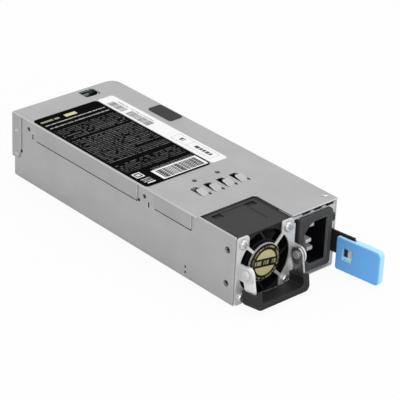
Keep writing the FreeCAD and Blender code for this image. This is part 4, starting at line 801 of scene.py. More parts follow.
@dataclass(frozen=True)
class CircuitBoard(Finish):
    """Green solder mask over traces, with tinned pads and vias."""

    mask: Rgb = (0.010, 0.075, 0.032)
    trace: Rgb = (0.022, 0.135, 0.055)
    cell: float = 2.6

    def build(self, shader: Shader) -> bpy.types.Material:
        """Traces from a cell pattern, vias at the cells' points.

        Args:
            shader: Its material's empty node tree.

        Returns:
            The material.
        """
        place = shader.place()
        settings = {"feature": "DISTANCE_TO_EDGE"}
        edge = shader.node("ShaderNodeTexVoronoi", settings, {"Vector": place, "Scale": 1 / self.cell})
        dots = shader.node("ShaderNodeTexVoronoi", None, {"Vector": place, "Scale": 1 / (self.cell * 1.6)})
        traces = edge.ramp(0.05, 0.09)
        pads = 1.0 - dots.ramp(0.10, 0.13)
        cloud = shader.noise(0.3)
        colour = shader.mix(traces * (0.6 + cloud * 0.4), self.mask, self.trace)
        colour = shader.mix(pads, colour, grey(0.62))
        relief = shader.bump(traces * 0.5 + pads * 0.5, 0.04)
        gloss = 0.3 + (cloud - 0.5) * 0.12
        return shader.finish(colour, gloss, relief, Metallic=pads * 0.9)


@dataclass(frozen=True)
class Wound(Finish):
    """Enamelled copper wire wound in even turns."""

    axis: Along = Along.Z
    gauge: float = 0.5
    dark: Rgb = (0.20, 0.055, 0.018)
    light: Rgb = (0.68, 0.26, 0.10)

    def build(self, shader: Shader) -> bpy.types.Material:
        """Each wire's round back from its place along the winding, with painted shade that darkens the colour
        towards the creases between turns.

        Args:
            shader: Its material's empty node tree.

        Returns:
            The material.
        """
        along = shader.xyz()[self.axis.value] / self.gauge
        side = along.part() * 2.0 - 1.0
        back = (1.0 - side * side).root()
        turn = shader.chance(along.floor(), 2.0)
        # painted shade: each turn darker towards the creases and lighter on its crown, over a random tone per
        # turn
        colour = shader.mix(back * (0.6 + turn * 0.4), self.dark, self.light)
        relief = shader.bump(back, self.gauge / 2)
        gloss = 0.25 + turn * 0.12
        return shader.finish(colour, gloss, relief, Metallic=0.85)


@dataclass(frozen=True)
class Fired(Finish):
    """Matt fired ferrite with fine pits."""

    def build(self, shader: Shader) -> bpy.types.Material:
        """Pits and clouds in colour, gloss and relief, and a painted highlight that lightens the edges.

        Args:
            shader: Its material's empty node tree.

        Returns:
            The material.
        """
        pits = shader.noise(3.0, 4.0, 0.7)
        normal, rim = shader.edges(0.3)
        # painted highlight: edges lighter by the rim share
        colour = shader.mix((pits + rim * 0.4).ramp(0.3, 1.0), grey(0.025), grey(0.09))
        relief = shader.bump(pits, 0.05, normal)
        return shader.finish(colour, 0.55 + pits * 0.2, relief)


@dataclass(frozen=True)
class CanSleeve(Finish):
    """Shrink sleeve of a capacitor, with a pale stripe down one side and a bare top."""

    middle: tuple[float, float] = (0.0, 0.0)
    top: float = 37.0
    sleeve: Rgb = (0.012, 0.018, 0.045)
    stripe: Rgb = (0.55, 0.55, 0.50)

    def build(self, shader: Shader) -> bpy.types.Material:
        """The stripe from the way round the can, the aluminium from the height.

        Args:
            shader: Its material's empty node tree.

        Returns:
            The material.
        """
        x, y, z = shader.xyz()
        right, ahead = x - self.middle[0], y - self.middle[1]
        around = right.angle(ahead)
        stripe = abs(around) < 0.32
        dashes = stripe * ((z * 0.22).part().between(0.3, 0.6)) * (abs(around) < 0.12)
        bare = z > self.top
        cloud = shader.noise(0.6)
        colour = shader.mix(stripe, self.sleeve, self.stripe)
        colour = shader.mix(dashes, colour, self.sleeve)
        colour = shader.mix(bare, colour, grey(0.66))
        gloss = 0.28 + (cloud - 0.5) * 0.1
        return shader.finish(colour, gloss, Metallic=bare * 0.9)


@dataclass(frozen=True)
class Extruded(Finish):
    """Bare extruded aluminium with drawing lines."""

    def build(self, shader: Shader) -> bpy.types.Material:
        """Lines up the profile in relief and gloss, and a painted highlight that lightens the edges.

        Args:
            shader: Its material's empty node tree.

        Returns:
            The material.
        """
        lines = shader.noise(1.0, where=shader.place((6.0, 6.0, 0.1)))
        normal, rim = shader.edges(0.2)
        # painted highlight: edges lighter by the rim share
        colour = shader.mix((lines * 0.7 + rim * 0.4).ramp(0.2, 1.0), grey(0.50), grey(0.78))
        relief = shader.bump(lines, 0.02, normal)
        return shader.finish(colour, 0.3 + lines * 0.15, relief, Metallic=0.9)


@dataclass(frozen=True)
class Plated(Finish):
    """Plated contact metal of one colour with faint rubbing."""

    dark: Rgb = (0.62, 0.40, 0.12)
    light: Rgb = (0.95, 0.72, 0.30)
    rough: float = 0.22

    def build(self, shader: Shader) -> bpy.types.Material:
        """Rubbing lines along the way of insertion.

        Args:
            shader: Its material's empty node tree.

        Returns:
            The material.
        """
        rub = shader.noise(1.0, where=shader.place((5.0, 0.25, 5.0)))
        colour = shader.mix(rub, self.dark, self.light)
        relief = shader.bump(rub, 0.01)
        gloss = self.rough + (rub - 0.5) * 0.16
        return shader.finish(colour, gloss, relief, Metallic=0.95)


@dataclass(frozen=True)
class ClearPlastic(Finish):
    """Tinted clear moulding or film."""

    tint: Rgb = (0.30, 0.34, 0.30)
    clear: float = 0.5

    def build(self, shader: Shader) -> bpy.types.Material:
        """Faint flow lines in a clear body.

        Args:
            shader: Its material's empty node tree.

        Returns:
            The material.
        """
        flow = shader.noise(1.2)
        colour = shader.mix(flow, self.tint, tuple(min(1.0, c * 1.25) for c in self.tint))
        return shader.finish(colour, 0.12 + flow * 0.08, Transmission_Weight=self.clear, IOR=1.49)


@dataclass(frozen=True)
class WireSet(Finish):
    """The fan lead's insulation, one colour for each wire."""

    first: float = -6.0
    pitch: float = 2.0
    colours: tuple[Rgb, ...] = (grey(0.02), (0.45, 0.02, 0.02), (0.55, 0.42, 0.03), (0.03, 0.09, 0.42))

    def build(self, shader: Shader) -> bpy.types.Material:
        """A stepped ramp over the wires' places.

        Args:
            shader: Its material's empty node tree.

        Returns:
            The material.
        """
        x, _, _ = shader.xyz()
        count = len(self.colours)
        stops = [(i / count, colour) for i, colour in enumerate(self.colours)]
        share = (x - self.first) / (self.pitch * count)
        colour = shader.node("ShaderNodeValToRGB", {"stops": stops}, {0: share})
        cloud = shader.noise(2.0)
        return shader.finish(colour, 0.4 + cloud * 0.1)


@dataclass(frozen=True)
class BlackedSteel(Finish):
    """Blacked spring steel, with a painted highlight over bare metal where the finger tab's window shows it.
    """

    window_front: float = -108.2
    window_back: float = -103.9
    window_top: float = 15.6
    wear_and_highlight: Rgb = (0.72, 0.66, 0.56)

    def build(self, shader: Shader) -> bpy.types.Material:
        """A painted highlight over bare metal inside the window's stretch, and black elsewhere with edges
        lighter, partly wear and partly painted highlight.

        Args:
            shader: Its material's empty node tree.

        Returns:
            The material.
        """
        _, y, z = shader.xyz()
        # painted highlight: bare metal made bright where the tab's window shows the spring
        window_highlight = y.between(self.window_front, self.window_back) * (z < self.window_top)
        grain = shader.noise(2.0, 3.0, where=shader.place((1.0, 1.0, 5.0)))
        normal, rim = shader.edges(0.15)
        # edges lighter: partly wear and partly painted highlight
        black = shader.mix(grain * 0.5 + rim * 0.4, grey(0.008), grey(0.06))
        bright = shader.mix(grain, self.wear_and_highlight, grey(0.9))
        colour = shader.mix(window_highlight, black, bright)
        relief = shader.bump(grain, 0.01, normal)
        gloss = 0.34 + (grain - 0.5) * 0.15
        return shader.finish(colour, gloss, relief, Metallic=window_highlight * 0.6 + 0.1, Specular_IOR_Level=0.2)


# --------------------------------------------------------------- mesh making


def turned(profile: np.ndarray, steps: int, axis: Along = Along.Y) -> np.ndarray:
    """A surface of revolution as a grid.

    Each profile point (radius, along) goes round to (radius cos t, radius sin t) at its place along the axis.

    Args:
        profile: Points of the section, as rows of radius and distance along the axis.
        steps: Number of steps round.
        axis: The axis that it turns about.

    Returns:
        A grid of points, round by along.
    """
    turn = np.linspace(0.0, 2 * math.pi, steps, endpoint=False)[:, None]
    radius, along = profile[None, :, 0], profile[None, :, 1] + 0 * turn
    order = [radius * np.cos(turn), radius * np.sin(turn)]
    order.insert(axis.value, along)
    return np.stack(order, -1)


def rounded(low: Pair, high: Pair, corner: float, steps: int = 4) -> np.ndarray:
    """A rectangle's outline with round corners, as rows of two places.

    Each corner is a quarter circle of that radius about a point set in from the corner.

    Args:
        low: Its lowest corner.
        high: Its highest corner.
        corner: The radius of its corners.
        steps: Number of steps round each corner.

    Returns:
        Rows of two places, in order round it.
    """
    middle = (np.array(low) + np.array(high)) / 2
    width, height = high[0] - low[0], high[1] - low[1]
    turn = np.linspace(0.0, math.pi / 2, steps + 1)
    quarters = np.arange(4)[:, None] * math.pi / 2 + turn[None, :]
    signs = np.array([(1, 1), (-1, 1), (-1, -1), (1, -1)], float)
    middles = signs * (width / 2 - corner, height / 2 - corner)
    arcs = np.stack([np.cos(quarters), np.sin(quarters)], -1) * corner
    return (middles[:, None, :] + arcs).reshape(-1, 2) + middle


@dataclass
class Skin:
    """The points and faces of one new piece in millimetres, gathered part by part."""

    points: list[np.ndarray] = field(default_factory=list)
    faces: list[list[int]] = field(default_factory=list)
    total: int = 0

    def add(self, points: np.ndarray, faces: list[list[int]]) -> None:
        """Add points with faces that count from those points' first.

        Args:
            points: Rows of three.
            faces: The points of each face, counted from 0.
        """
        self.faces += [[i + self.total for i in face] for face in faces]
        self.points.append(points)
        self.total += len(points)

    def grid(self, points: np.ndarray, closed: tuple[bool, bool] = (False, False)) -> None:
        """Add a grid of points joined by four-sided faces.

        Args:
            points: The grid, rows by columns by 3.
            closed: Whether the last row joins the first, and the last column the first.
        """
        rows, columns = points.shape[:2]
        count = np.arange(rows * columns).reshape(rows, columns)
        near_row = count if closed[0] else count[:-1]
        far_row = np.roll(count, -1, 0) if closed[0] else count[1:]
        if closed[1]:
            parts = (near_row, far_row, np.roll(far_row, -1, 1), np.roll(near_row, -1, 1))
        else:
            parts = (near_row[:, :-1], far_row[:, :-1], far_row[:, 1:], near_row[:, 1:])
        self.add(points.reshape(-1, 3), np.stack(parts, -1).reshape(-1, 4).tolist())

    def prism(self, outline: np.ndarray, depth: Pair, axis: Along) -> None:
        """Add a closed slab: an outline at two places on an axis, walls between and a cap on each.

        Args:
            outline: Rows of its places on the other two axes.
            depth: The two places.
            axis: The axis that it is thick along.
        """
        count = len(outline)
        points = np.zeros((2 * count, 3))
        points[:, axis.rest()] = np.tile(outline, (2, 1))
        points[:, axis.value] = np.repeat(depth, count)
        ring = np.arange(count)
        after = np.roll(ring, -1)
        walls = np.stack([ring, after, after + count, ring + count], -1).tolist()
        self.add(points, walls + [ring[::-1].tolist(), (ring + count).tolist()])

    def slab(self, box: Box, depth: Pair, axis: Along, corner: float, steps: int = 2) -> None:
        """Add a slab with round corners.

        Args:
            box: The lowest and then the highest places of its outline on the other two axes.
            depth: Its two places on its own axis.
            axis: The axis that it is thick along.
            corner: Its corners' radius.
            steps: Number of steps round each corner.
        """
        self.prism(rounded(box[:2], box[2:], corner, steps), depth, axis)

    def spread(self, points: np.ndarray, closed: bool, places: np.ndarray) -> None:
        """Add a turned grid at each of several places.

        Args:
            points: The grid, round by along by 3.
            closed: Whether its section joins on itself.
            places: The places, as rows of three.
        """
        for place in places:
            self.grid(points + place, (True, closed))

    def piece(
        self, name: str, body: str, finish: Finish, slot: Optional[str] = None, edge: float = 0.0
    ) -> bpy.types.Object:
        """Make the piece.

        Args:
            name: Its name.
            body: The body that it rides on.
            finish: Its finish.
            slot: Not used.
            edge: Width of its bevelled edges.

        Returns:
            The new object.
        """
        mesh = bpy.data.meshes.new(name)
        points = np.concatenate(self.points) * MM
        mesh.from_pydata(points.tolist(), [], self.faces)
        outward(mesh)
        made = bpy.data.objects.new(name, mesh)
        bpy.context.scene.collection.objects.link(made)
        if edge:
            bevel = made.modifiers.new("edge", "BEVEL")
            bevel.width, bevel.segments, bevel.limit_method = edge * MM, 2, "ANGLE"
        mesh.materials.append(finish.material())
        mesh.set_sharp_from_angle(angle=math.radians(35))
        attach(made, body)
        LOG.info("made %s: %d faces on %s", name, len(mesh.polygons), body)
        return made


def outward(mesh: bpy.types.Mesh) -> None:
    """Merge double points, and turn the faces of each closed part outwards.

    Args:
        mesh: The mesh to change.
    """
    shell = bmesh.new()
    shell.from_mesh(mesh)
    bmesh.ops.remove_doubles(shell, verts=shell.verts, dist=1e-6)
    bmesh.ops.recalc_face_normals(shell, faces=shell.faces)
    shell.to_mesh(mesh)
    shell.free()


def corners(node: str) -> tuple[np.ndarray, np.ndarray]:
    """A CAD node's lowest and highest corners in millimetres."""
    low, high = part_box(node)
    return np.array(low) / MM, np.array(high) / MM


# --------------------------------------------------------------- sub-assemblies


@dataclass
class SubAssembly:
    """A group of CAD nodes with their finishes, and the pieces that belong with them."""

    def finishes(self) -> dict[str, Finish]:
        """Each CAD node's finish."""
        return {}

    def make(self) -> None:
        """Make this group's new pieces."""

    def build(self) -> None:
        """Dress the CAD nodes, then make the new pieces."""
        for node, finish in self.finishes().items():
            mesh = frame["nodes"][node].data
            mesh.materials.clear()
            mesh.materials.append(finish.material())
            LOG.info("dressed %s with %s", node, finish.name)
        self.make()


SCREWS = PlatedSteel("plated_screws")
GUARD_STEEL = PlatedSteel("guard_steel", grey(0.56), grey(0.78), 0.38, 0.5)
PIVOT_STEEL = PlatedSteel("pivot_steel", grey(0.50), grey(0.74), 0.4, 0.6)
# lit and shaded copies of one plated steel: the left arm painted light, the right arm's inner face painted
# shade
LIT_ARM_PLATING = PlatedSteel("lit_arm_plating", grey(0.76), grey(0.92), 0.34, 0.55)
SHADED_ARM_PLATING = PlatedSteel("shaded_arm_plating", grey(0.34), grey(0.72), 0.26, 0.9)
PIN_STEEL = PlatedSteel("nickel_plate", grey(0.60), grey(0.88), 0.4, 0.35)
TRAY_STEEL = SheetSteel("tray_steel", (0.42, 0.42, 0.422), (0.52, 0.52, 0.522))
# the lid's steel carries the painted highlight on its end faces and upper folds
LID_STEEL = SheetSteel("lid_steel", (0.385, 0.385, 0.387), (0.475, 0.475, 0.477), end_and_fold_highlight=0.75)
PANEL_STEEL = SheetSteel("bright_zinc_steel", (0.55, 0.55, 0.555), (0.68, 0.68, 0.685), rough=0.5, metal=0.4)
# painted shadow under the lid's flanges and along the front panel's top
SEAM_SHADOW_BLACK = Moulded("seam_shadow_black", grey(0.006), grey(0.02), 0.7)
# painted shade in holes and at tongue and flange ends
HOLE_SHADE_BLACK = Moulded("hole_shade_black", grey(0.004), grey(0.012), 0.5)
FILM_BLACK = Moulded("film_black", grey(0.008), grey(0.02), 0.5)
FOAM_BLACK = Moulded("foam_black", grey(0.028), grey(0.05), 0.8, 6.0, 0.05)
# painted shadow in the gap between the guard and the inlet's flange
GAP_SHADOW_BLACK = Moulded("gap_shadow_black", grey(0.008), grey(0.02), 0.8, 6.0)
BEZEL_GREY = Moulded("bezel_grey", grey(0.045), grey(0.12), 0.45)
CREAM = Moulded("cream_enamel", (0.50, 0.47, 0.23), (0.72, 0.69, 0.42), 0.3, 3.0, 0.01, 0.1, 0.5)
PALE_BLUE = Moulded("pale_blue", (0.34, 0.42, 0.48), (0.52, 0.60, 0.66), 0.4)
PACKAGE = Moulded("package_black", grey(0.012), grey(0.035), 0.42)
BOARD = CircuitBoard("board_green")
SENSE_GREEN = CircuitBoard("sense_green", (0.03, 0.07, 0.045), (0.10, 0.17, 0.11), 1.1)
TINNED = Plated("tinned", grey(0.5), grey(0.8), 0.25)


@dataclass
class Case(SubAssembly):
    """The steel case: tray, lid, panels, rivets, the prints on the lid, painted shade at its seam and small
    holes, and the wall films.
    """

    wall: float = 35.85
    wall_gap: float = 0.005
    lid_top: float = 40.005
    shade_depth: float = 1.25
    shade_gap: float = 0.03
    shade_rise: Pair = (0.002, 0.04)
    front_shade: Pair = (0.5, 0.05)
    front_shade_depth: Pair = (0.03, 0.02)
    front_inset: float = 0.4
    front_flange: tuple[float, float, float] = (33.0, 62.2, 31.0)
    middle_flange: tuple[float, float, float] = (76.1, 163.5, 30.0)
    vent_shade_spots: Pair = (22.9, 44.2)
    vent_pitch: float = 9.1
    vents: int = 4
    lid_holes: tuple[Pair, ...] = ((25.8, 59.7), (42.1, 59.7))
    side_shade_spots: tuple[Pair, ...] = ((70.6, 34.0), (170.6, 34.0))
    front_shade_spots: tuple[Pair, ...] = ((5.3, 11.65), (5.3, 31.1))
    notch_shade_spots: tuple[Pair, ...] = ((74.9, 30.2), (177.4, 17.8))
    ring: tuple[Pair, ...] = ((0.98, 0.0), (1.02, 0.05), (1.36, 0.05), (1.42, 0.0))
    dome: Pair = (1.05, 0.12)
    left_film: tuple[float, Pair] = (32.0, (-34.79, -34.65))
    right_film: tuple[float, Pair] = (42.0, (33.4, 33.55))
    film_end: float = 168.0
    film_heights: Pair = (3.0, 38.0)

    def finishes(self) -> dict[str, Finish]:
        """Zinc steel all round, and the labels.

        Returns:
            A finish for each CAD node.
        """
        return {
            "chassis_tray": TRAY_STEEL,
            "top_lid": LID_STEEL,
            "rear_panel": LID_STEEL,
            "front_panel": PANEL_STEEL,
            "case_rivets": SCREWS,
            "rating_label": RatingPrint("rating_print"),
            "strip_label": StripPrint("strip_print"),
            "lid_patch": SoftPad("soft_pad"),
            "insulation_sheet": ClearPlastic("amber_film", (0.45, 0.30, 0.12), 0.3),
        }

    def make(self) -> None:
        """Painted shadow strips below the lid's flanges, painted shade marks in the small holes and at tongue
        and flange ends, and the wall films.
        """
        self.seam_shade_strips()
        self.hole_shade_marks()
        self.films()

    def seam_shade_strips(self) -> None:
        """Painted shadow: dark strips below the lid, on the tray under each flange and on the front panel."""
        seam_shade_strips = Skin()
        for side in (-1.0, 1.0):
            depth = sorted(side * (self.wall + rise) for rise in self.shade_rise)
            for start, end, edge in (self.front_flange, self.middle_flange):
                box = (FRONT + start, edge - self.shade_depth, FRONT + end, edge - self.shade_gap)
                seam_shade_strips.slab(box, depth, Along.X, 0.2, 3)
        low, high = corners("front_panel")
        drop, gap = self.front_shade
        box = (low[0] + self.front_inset, high[2] - drop, high[0] - self.front_inset, high[2] - gap)
        rise, sink = self.front_shade_depth
        seam_shade_strips.slab(box, (low[1] - rise, low[1] + sink), Along.Y, 0.1)
        seam_shade_strips.piece("painted_seam_shadow", "supply", SEAM_SHADOW_BLACK, "case_steel")

    def hole_shade_marks(self) -> None:
        """Painted shade: dark rings round the punched holes, and dark domes where a tongue or flange ends.

        A ring's section is a low trapezium turned about the hole's axis and closed on itself, and a
        dome's is a quarter ellipse.
        """
        turn = np.linspace(0.0, math.pi / 2, 5)
        ring = (np.array(self.ring), True)
        dome = (np.stack([np.cos(turn), np.sin(turn)], -1) * self.dome, False)
        first, back = self.vent_shade_spots
        vents = [(first + self.vent_pitch * i, back) for i in range(self.vents)]
        hole_shade_marks = Skin()
        for (section, closed), holes, size in ((ring, self.lid_holes, (1.0, 1.0)), (dome, vents, (0.8, 1.5))):
            places = np.insert(np.array(holes) + (LEFT, FRONT), 2, self.lid_top, 1)
            hole_shade_marks.spread(turned(section, 24, Along.Z) * (*size, 1.0), closed, places)
        walls = ((ring, self.side_shade_spots, 0.86), (ring, self.front_shade_spots, 1.25), (dome, self.notch_shade_spots, 0.9))
        for side in (-1.0, 1.0):
            for (section, closed), holes, size in walls:
                places = np.insert(np.array(holes) + (FRONT, 0.0), 0, side * (self.wall + self.wall_gap), 1)
                hole_shade_marks.spread(turned(section, 24, Along.X) * (side, size, size), closed, places)
        hole_shade_marks.piece("painted_hole_shade", "supply", HOLE_SHADE_BLACK, "case_steel")

    def films(self) -> None:
        """Black insulating film behind each side wall, seen through its slots."""
        films = Skin()
        low, high = self.film_heights
        for start, depth in (self.left_film, self.right_film):
            films.slab((FRONT + start, low, FRONT + self.film_end, high), depth, Along.X, 2.0, 4)
        films.piece("wall_films", "supply", FILM_BLACK, "film")


@dataclass
class SenseBoard(SubAssembly):
    """A small board on the rear panel behind the lid's window, with its flat parts."""

    panel: float = 1.0
    board: Box = (8.6, 33.4, 22.4, 38.9)
    board_depth: Pair = (0.5, 0.06)
    chips: tuple[Box, ...] = (
        (10.6, 38.0, 15.6, 38.9),
        (16.9, 33.9, 20.9, 36.6),
        (11.6, 34.2, 13.8, 35.4),
    )
    film_part: Box = (9.4, 36.1, 15.6, 37.8)
    part_depth: Pair = (0.84, 0.5)
    part_edge: float = 0.05

    def make(self) -> None:
        """The board, the black chips and the pale film part."""
        face = corners("rear_panel")[1][1] - self.panel
        board, chips, part = Skin(), Skin(), Skin()
        depth = (face - self.part_depth[0], face - self.part_depth[1])
        board.slab(self.board, (face - self.board_depth[0], face - self.board_depth[1]), Along.Y, 0.5, 4)
        board.piece("sense_board", "supply", SENSE_GREEN, "circuit_board")
        for box in self.chips:
            chips.slab(box, depth, Along.Y, 0.12)
        chips.piece("sense_chips", "supply", PACKAGE, "package", self.part_edge)
        part.slab(self.film_part, depth, Along.Y, 0.3)
        part.piece("sense_film_part", "supply", PALE_BLUE, "package", self.part_edge)


@dataclass
class FanBay(SubAssembly):
    """The fan with its guard and the round plate on it."""

    plate_radius: float = 9.9
    plate_tilt: float = 9.0
    plate_sink: float = 0.02
    border_width: float = 0.4
    border_round: float = 0.15
    segment_radius: float = 7.2
    segment_rise: float = 0.12
    segment_edge: float = 0.05
    band_half: float = 2.4
    fan_corner: float = 2.2
    seal_gap: float = 0.06
    seal_width: float = 0.42
    seal_drop: float = 0.1
    seal_turn: float = 62.0
    seal_ends: Pair = (0.4, 0.1)
    strip_depth: float = 1.6
    strip_ends: Pair = (1.5, 6.0)

    def finishes(self) -> dict[str, Finish]:
        """Black plastic fan, plated guard, printed plate.

        Returns:
            A finish for each CAD node.
        """
        low, high = corners("fan_frame")
        axis = ((low[0] + high[0]) / 2, (low[2] + high[2]) / 2)
        return {
            "fan_frame": FanPlastic(
                "fan_frame_plastic", grey(0.021), grey(0.048), 0.52, 4.0, 0.03,
                low=tuple(low), high=tuple(high),
            ),
            "fan_rotor": Moulded("impeller_plastic", grey(0.005), grey(0.018), 0.42),
            "fan_stator": Wound("stator_wire", Along.Y, 0.5),
            "fan_guard": GUARD_STEEL,
            "fan_screws": SCREWS,
            "guard_badge": BadgePrint("badge_print", axis, self.plate_tilt),
            "fan_lead": WireSet("lead_wires"),
            "fan_plug": Moulded("plug_plastic", grey(0.60), grey(0.80), 0.4),
        }

    def make(self) -> None:
        """The plate's border and segments, and the seal between the fan and the lid."""
        self.plate_border()
        self.plate_segments()
        self.seal()

    def plate_border(self) -> None:
        """The plate's black border: a ring whose section is a rectangle with round corners."""
        low, high = corners("guard_badge")
        middle = (low + high) / 2
        inner = self.plate_radius - self.plate_sink
        section = rounded(
            (inner, low[1] + self.plate_sink), (inner + self.border_width, high[1]), self.border_round
        )
        border = Skin()
        border.grid(turned(section, 96) + (middle[0], 0.0, middle[2]), (True, True))
        border.piece("badge_border", "supply", self.finishes()["guard_badge"], "badge")

    def plate_segments(self) -> None:
        """Two raised plain segments: each is a circle's arc above or below a band, closed by the band's edge.

        The arc runs from the angle whose sine is the band's half width over the radius to its mirror
        angle, and the pair is turned together by the plate's tilt.
        """
        low, high = corners("guard_badge")
        middle = (low + high)[[0, 2]] / 2
        start = math.asin(self.band_half / self.segment_radius)
        arc = np.linspace(start, math.pi - start, 40)
        tilt = math.radians(self.plate_tilt)
        turn = np.array([(math.cos(tilt), -math.sin(tilt)), (math.sin(tilt), math.cos(tilt))])
        segments = Skin()
        for side in (1.0, -1.0):
            outline = np.stack([np.cos(arc), np.sin(arc) * side], -1) * self.segment_radius @ turn + middle
            segments.prism(outline, (low[1] - self.segment_rise, low[1] + self.plate_sink), Along.Y)
        segments.piece("badge_segments", "supply", CREAM, "badge", self.segment_edge)

    def seal(self) -> None:
        """A soft seal beside and behind the fan: a wedge over its rounded edge, and a strip along its back.

        The wedge's section follows a quarter circle a little larger than the fan's edge, and is closed
        by the lid's edge and a flat top.
        """
        low, high = corners("fan_frame")
        middle = high[[0, 2]] - self.fan_corner
        reach = self.fan_corner + self.seal_gap
        turn = np.linspace(0.0, math.radians(self.seal_turn), 7)
        arc = middle + np.stack([np.cos(turn), np.sin(turn)], -1) * reach
        outer, top = high[0] + self.seal_width, high[2] - self.seal_drop
        inner = middle[0] + math.sqrt(reach**2 - (top - middle[1]) ** 2)
        wedge = np.concatenate([arc, [(inner, top), (outer, top), (outer, middle[1])]])
        seal = Skin()
        seal.prism(wedge, (low[1] + self.seal_ends[0], high[1] - self.seal_ends[1]), Along.Y)
        back = (high[1] + self.seal_gap, top - self.strip_depth, high[1] + self.seal_width, top)
        seal.slab(back, (low[0] + self.strip_ends[0], high[0] - self.strip_ends[1]), Along.X, 0.1)
        seal.piece("fan_seal", "supply", FOAM_BLACK, "fan_plastic")


@dataclass
class Handle(SubAssembly):
    """The folding bail handle."""

    def finishes(self) -> dict[str, Finish]:
        """Plated arms, painted as a lit copy on the left and a shaded copy on the right, and a black grip.

        Returns:
            A finish for each CAD node.
        """
        return {
            "handle_arm_left": LIT_ARM_PLATING,
            "handle_arm_right": SHADED_ARM_PLATING,
            "handle_rivets": PIVOT_STEEL,
            "handle_grip": Moulded("grip_moulding", grey(0.016), grey(0.066), 0.46, 5.0, 0.02, 0.9),
        }


@dataclass
class Inlet(SubAssembly):
    """The mains inlet, its pins and its small board, and the status lamp beside it."""

    wall: float = 2.2
    flange: float = 0.4
    seat: float = 0.01
    gap_shadow_rise: float = 0.25
    gap_shadow_clearance: float = 0.1
    gap_shadow_lap: float = 0.2
    bezel: Box = (31.8, 27.3, 34.55, 32.7)
    bezel_corner: float = 1.1
    bezel_rise: float = 1.0
    bezel_edge: float = 0.3
    bezel_flat: float = 0.75
    lamp_hole: float = 1.12

    def finishes(self) -> dict[str, Finish]:
        """Black body, bright pins, green board.

        Returns:
            A finish for each CAD node.
        """
        low, high = corners("inlet_housing")
        return {
            "inlet_housing": InletPlastic(
                "inlet_moulding", grey(0.046), grey(0.17), 0.44, 5.0, 0.015, 0.7,
                low=(low[0] + self.wall, low[1] + self.flange, low[2] + self.wall),
                high=(high[0] - self.wall, high[1], high[2] - self.wall),
            ),
            "inlet_pins": PIN_STEEL,
            "inlet_board": BOARD,
            "status_lamp": ClearPlastic("lamp_plastic", (0.03, 0.04, 0.03), 0.3),
        }

    def make(self) -> None:
        """The lamp's bezel and the painted shadow strip beside the inlet."""
        front = corners("front_panel")[0][1]
        self.lamp_bezel(front)
        self.paint_gap_shadow(front)

    def paint_gap_shadow(self, front: float) -> None:
        """A painted shadow: a dark strip between the inlet's flange and the guard, on a panel with its front
        there.

        Args:
            front: The front of the panel that it lies on.
        """
        low, high = corners("inlet_housing")
        guard = corners("fan_guard")[1]
        strip = Skin()
        box = (guard[0] + self.gap_shadow_clearance, low[2], low[0] + self.gap_shadow_lap, high[2])
        strip.slab(box, (front - self.gap_shadow_rise, front - self.seat), Along.Y, 0.3)
        strip.piece("inlet_gap_shadow", "supply", GAP_SHADOW_BLACK, "inlet_plastic")

    def lamp_bezel(self, front: float) -> None:
        """The lamp's bezel: a ring from the lamp's circle out to a rounded rectangle, in five closed loops.

        Args:
            front: The front of the panel that it sits on.
        """
        low, high = corners("status_lamp")
        middle = (low + high)[[0, 2]] / 2
        edge = rounded(self.bezel[:2], self.bezel[2:], self.bezel_corner, 5)
        away = edge - middle
        turn = np.arctan2(away[:, 1], away[:, 0])
        hole = middle + np.stack([np.cos(turn), np.sin(turn)], -1) * self.lamp_hole
        inner = hole + (edge - hole) * self.bezel_flat
        loops = (
            (hole, self.seat), (hole, self.bezel_rise), (inner, self.bezel_rise),
            (edge, self.bezel_edge), (edge, self.seat),
        )
        bezel = Skin()
        bezel.grid(np.stack([np.insert(loop, 1, front - rise, 1) for loop, rise in loops]), (True, True))
        bezel.piece("lamp_bezel", "supply", BEZEL_GREY, "inlet_plastic")


@dataclass
class Latch(SubAssembly):
    """The latch spring with its blue finger tab."""

    def finishes(self) -> dict[str, Finish]:
        """Blacked spring, blue tab, plated rivets.

        Returns:
            A finish for each CAD node.
        """
        return {
            "latch_spring": BlackedSteel("blacked_spring"),
            "latch_tab": TouchPlastic("blue_moulding"),
            "latch_rivets": SCREWS,
        }


@dataclass
class Boards(SubAssembly):
    """The main board and the parts that stand on it."""

    bulk_lip: float = 0.4
    output_lip: float = 0.3

    def finishes(self) -> dict[str, Finish]:
        """Each part's own finish.

        Returns:
            A finish for each CAD node.
        """
        bulk_low, bulk_high = corners("bulk_capacitors")
        output_low, output_high = corners("output_capacitors")
        bulk_middle = ((bulk_low[0] + bulk_high[0]) / 2, bulk_low[1])
        return {
            "main_board": BOARD,
            "control_board": BOARD,
            "output_card": BOARD,
            "card_contacts": Plated("contact_gold"),
            "board_screws": SCREWS,
            "board_standoffs": TINNED,
            "bulk_capacitors": CanSleeve("bulk_sleeve", bulk_middle, bulk_high[2] - self.bulk_lip),
            "output_capacitors": CanSleeve(
                "output_sleeve", (0.0, output_low[1]), output_high[2] - self.output_lip
            ),
            "pfc_choke_core": Fired("choke_ferrite"),
            "filter_choke_core": Fired("filter_ferrite"),
            "transformer_core": Fired("core_ferrite"),
            "pfc_choke_winding": Wound("choke_wire", Along.X, 1.2),
            "filter_choke_windings": Wound("filter_wire", Along.Z, 0.9),
            "transformer_winding": Wound("transformer_wire", Along.Z, 0.6),
            "output_busbars": Plated("bare_copper", (0.55, 0.24, 0.12), (0.85, 0.45, 0.26), 0.3),
            "x_capacitor": Moulded("film_yellow", (0.62, 0.42, 0.03), (0.75, 0.60, 0.15), 0.4),
            "line_fuse": ClearPlastic("fuse_ceramic", (0.75, 0.73, 0.66), 0.1),
            "primary_heatsink": Extruded("heatsink_a"),
            "secondary_heatsink": Extruded("heatsink_b"),
            "power_switches": PACKAGE,
        }


# ------------------------------------------------------------------- studio


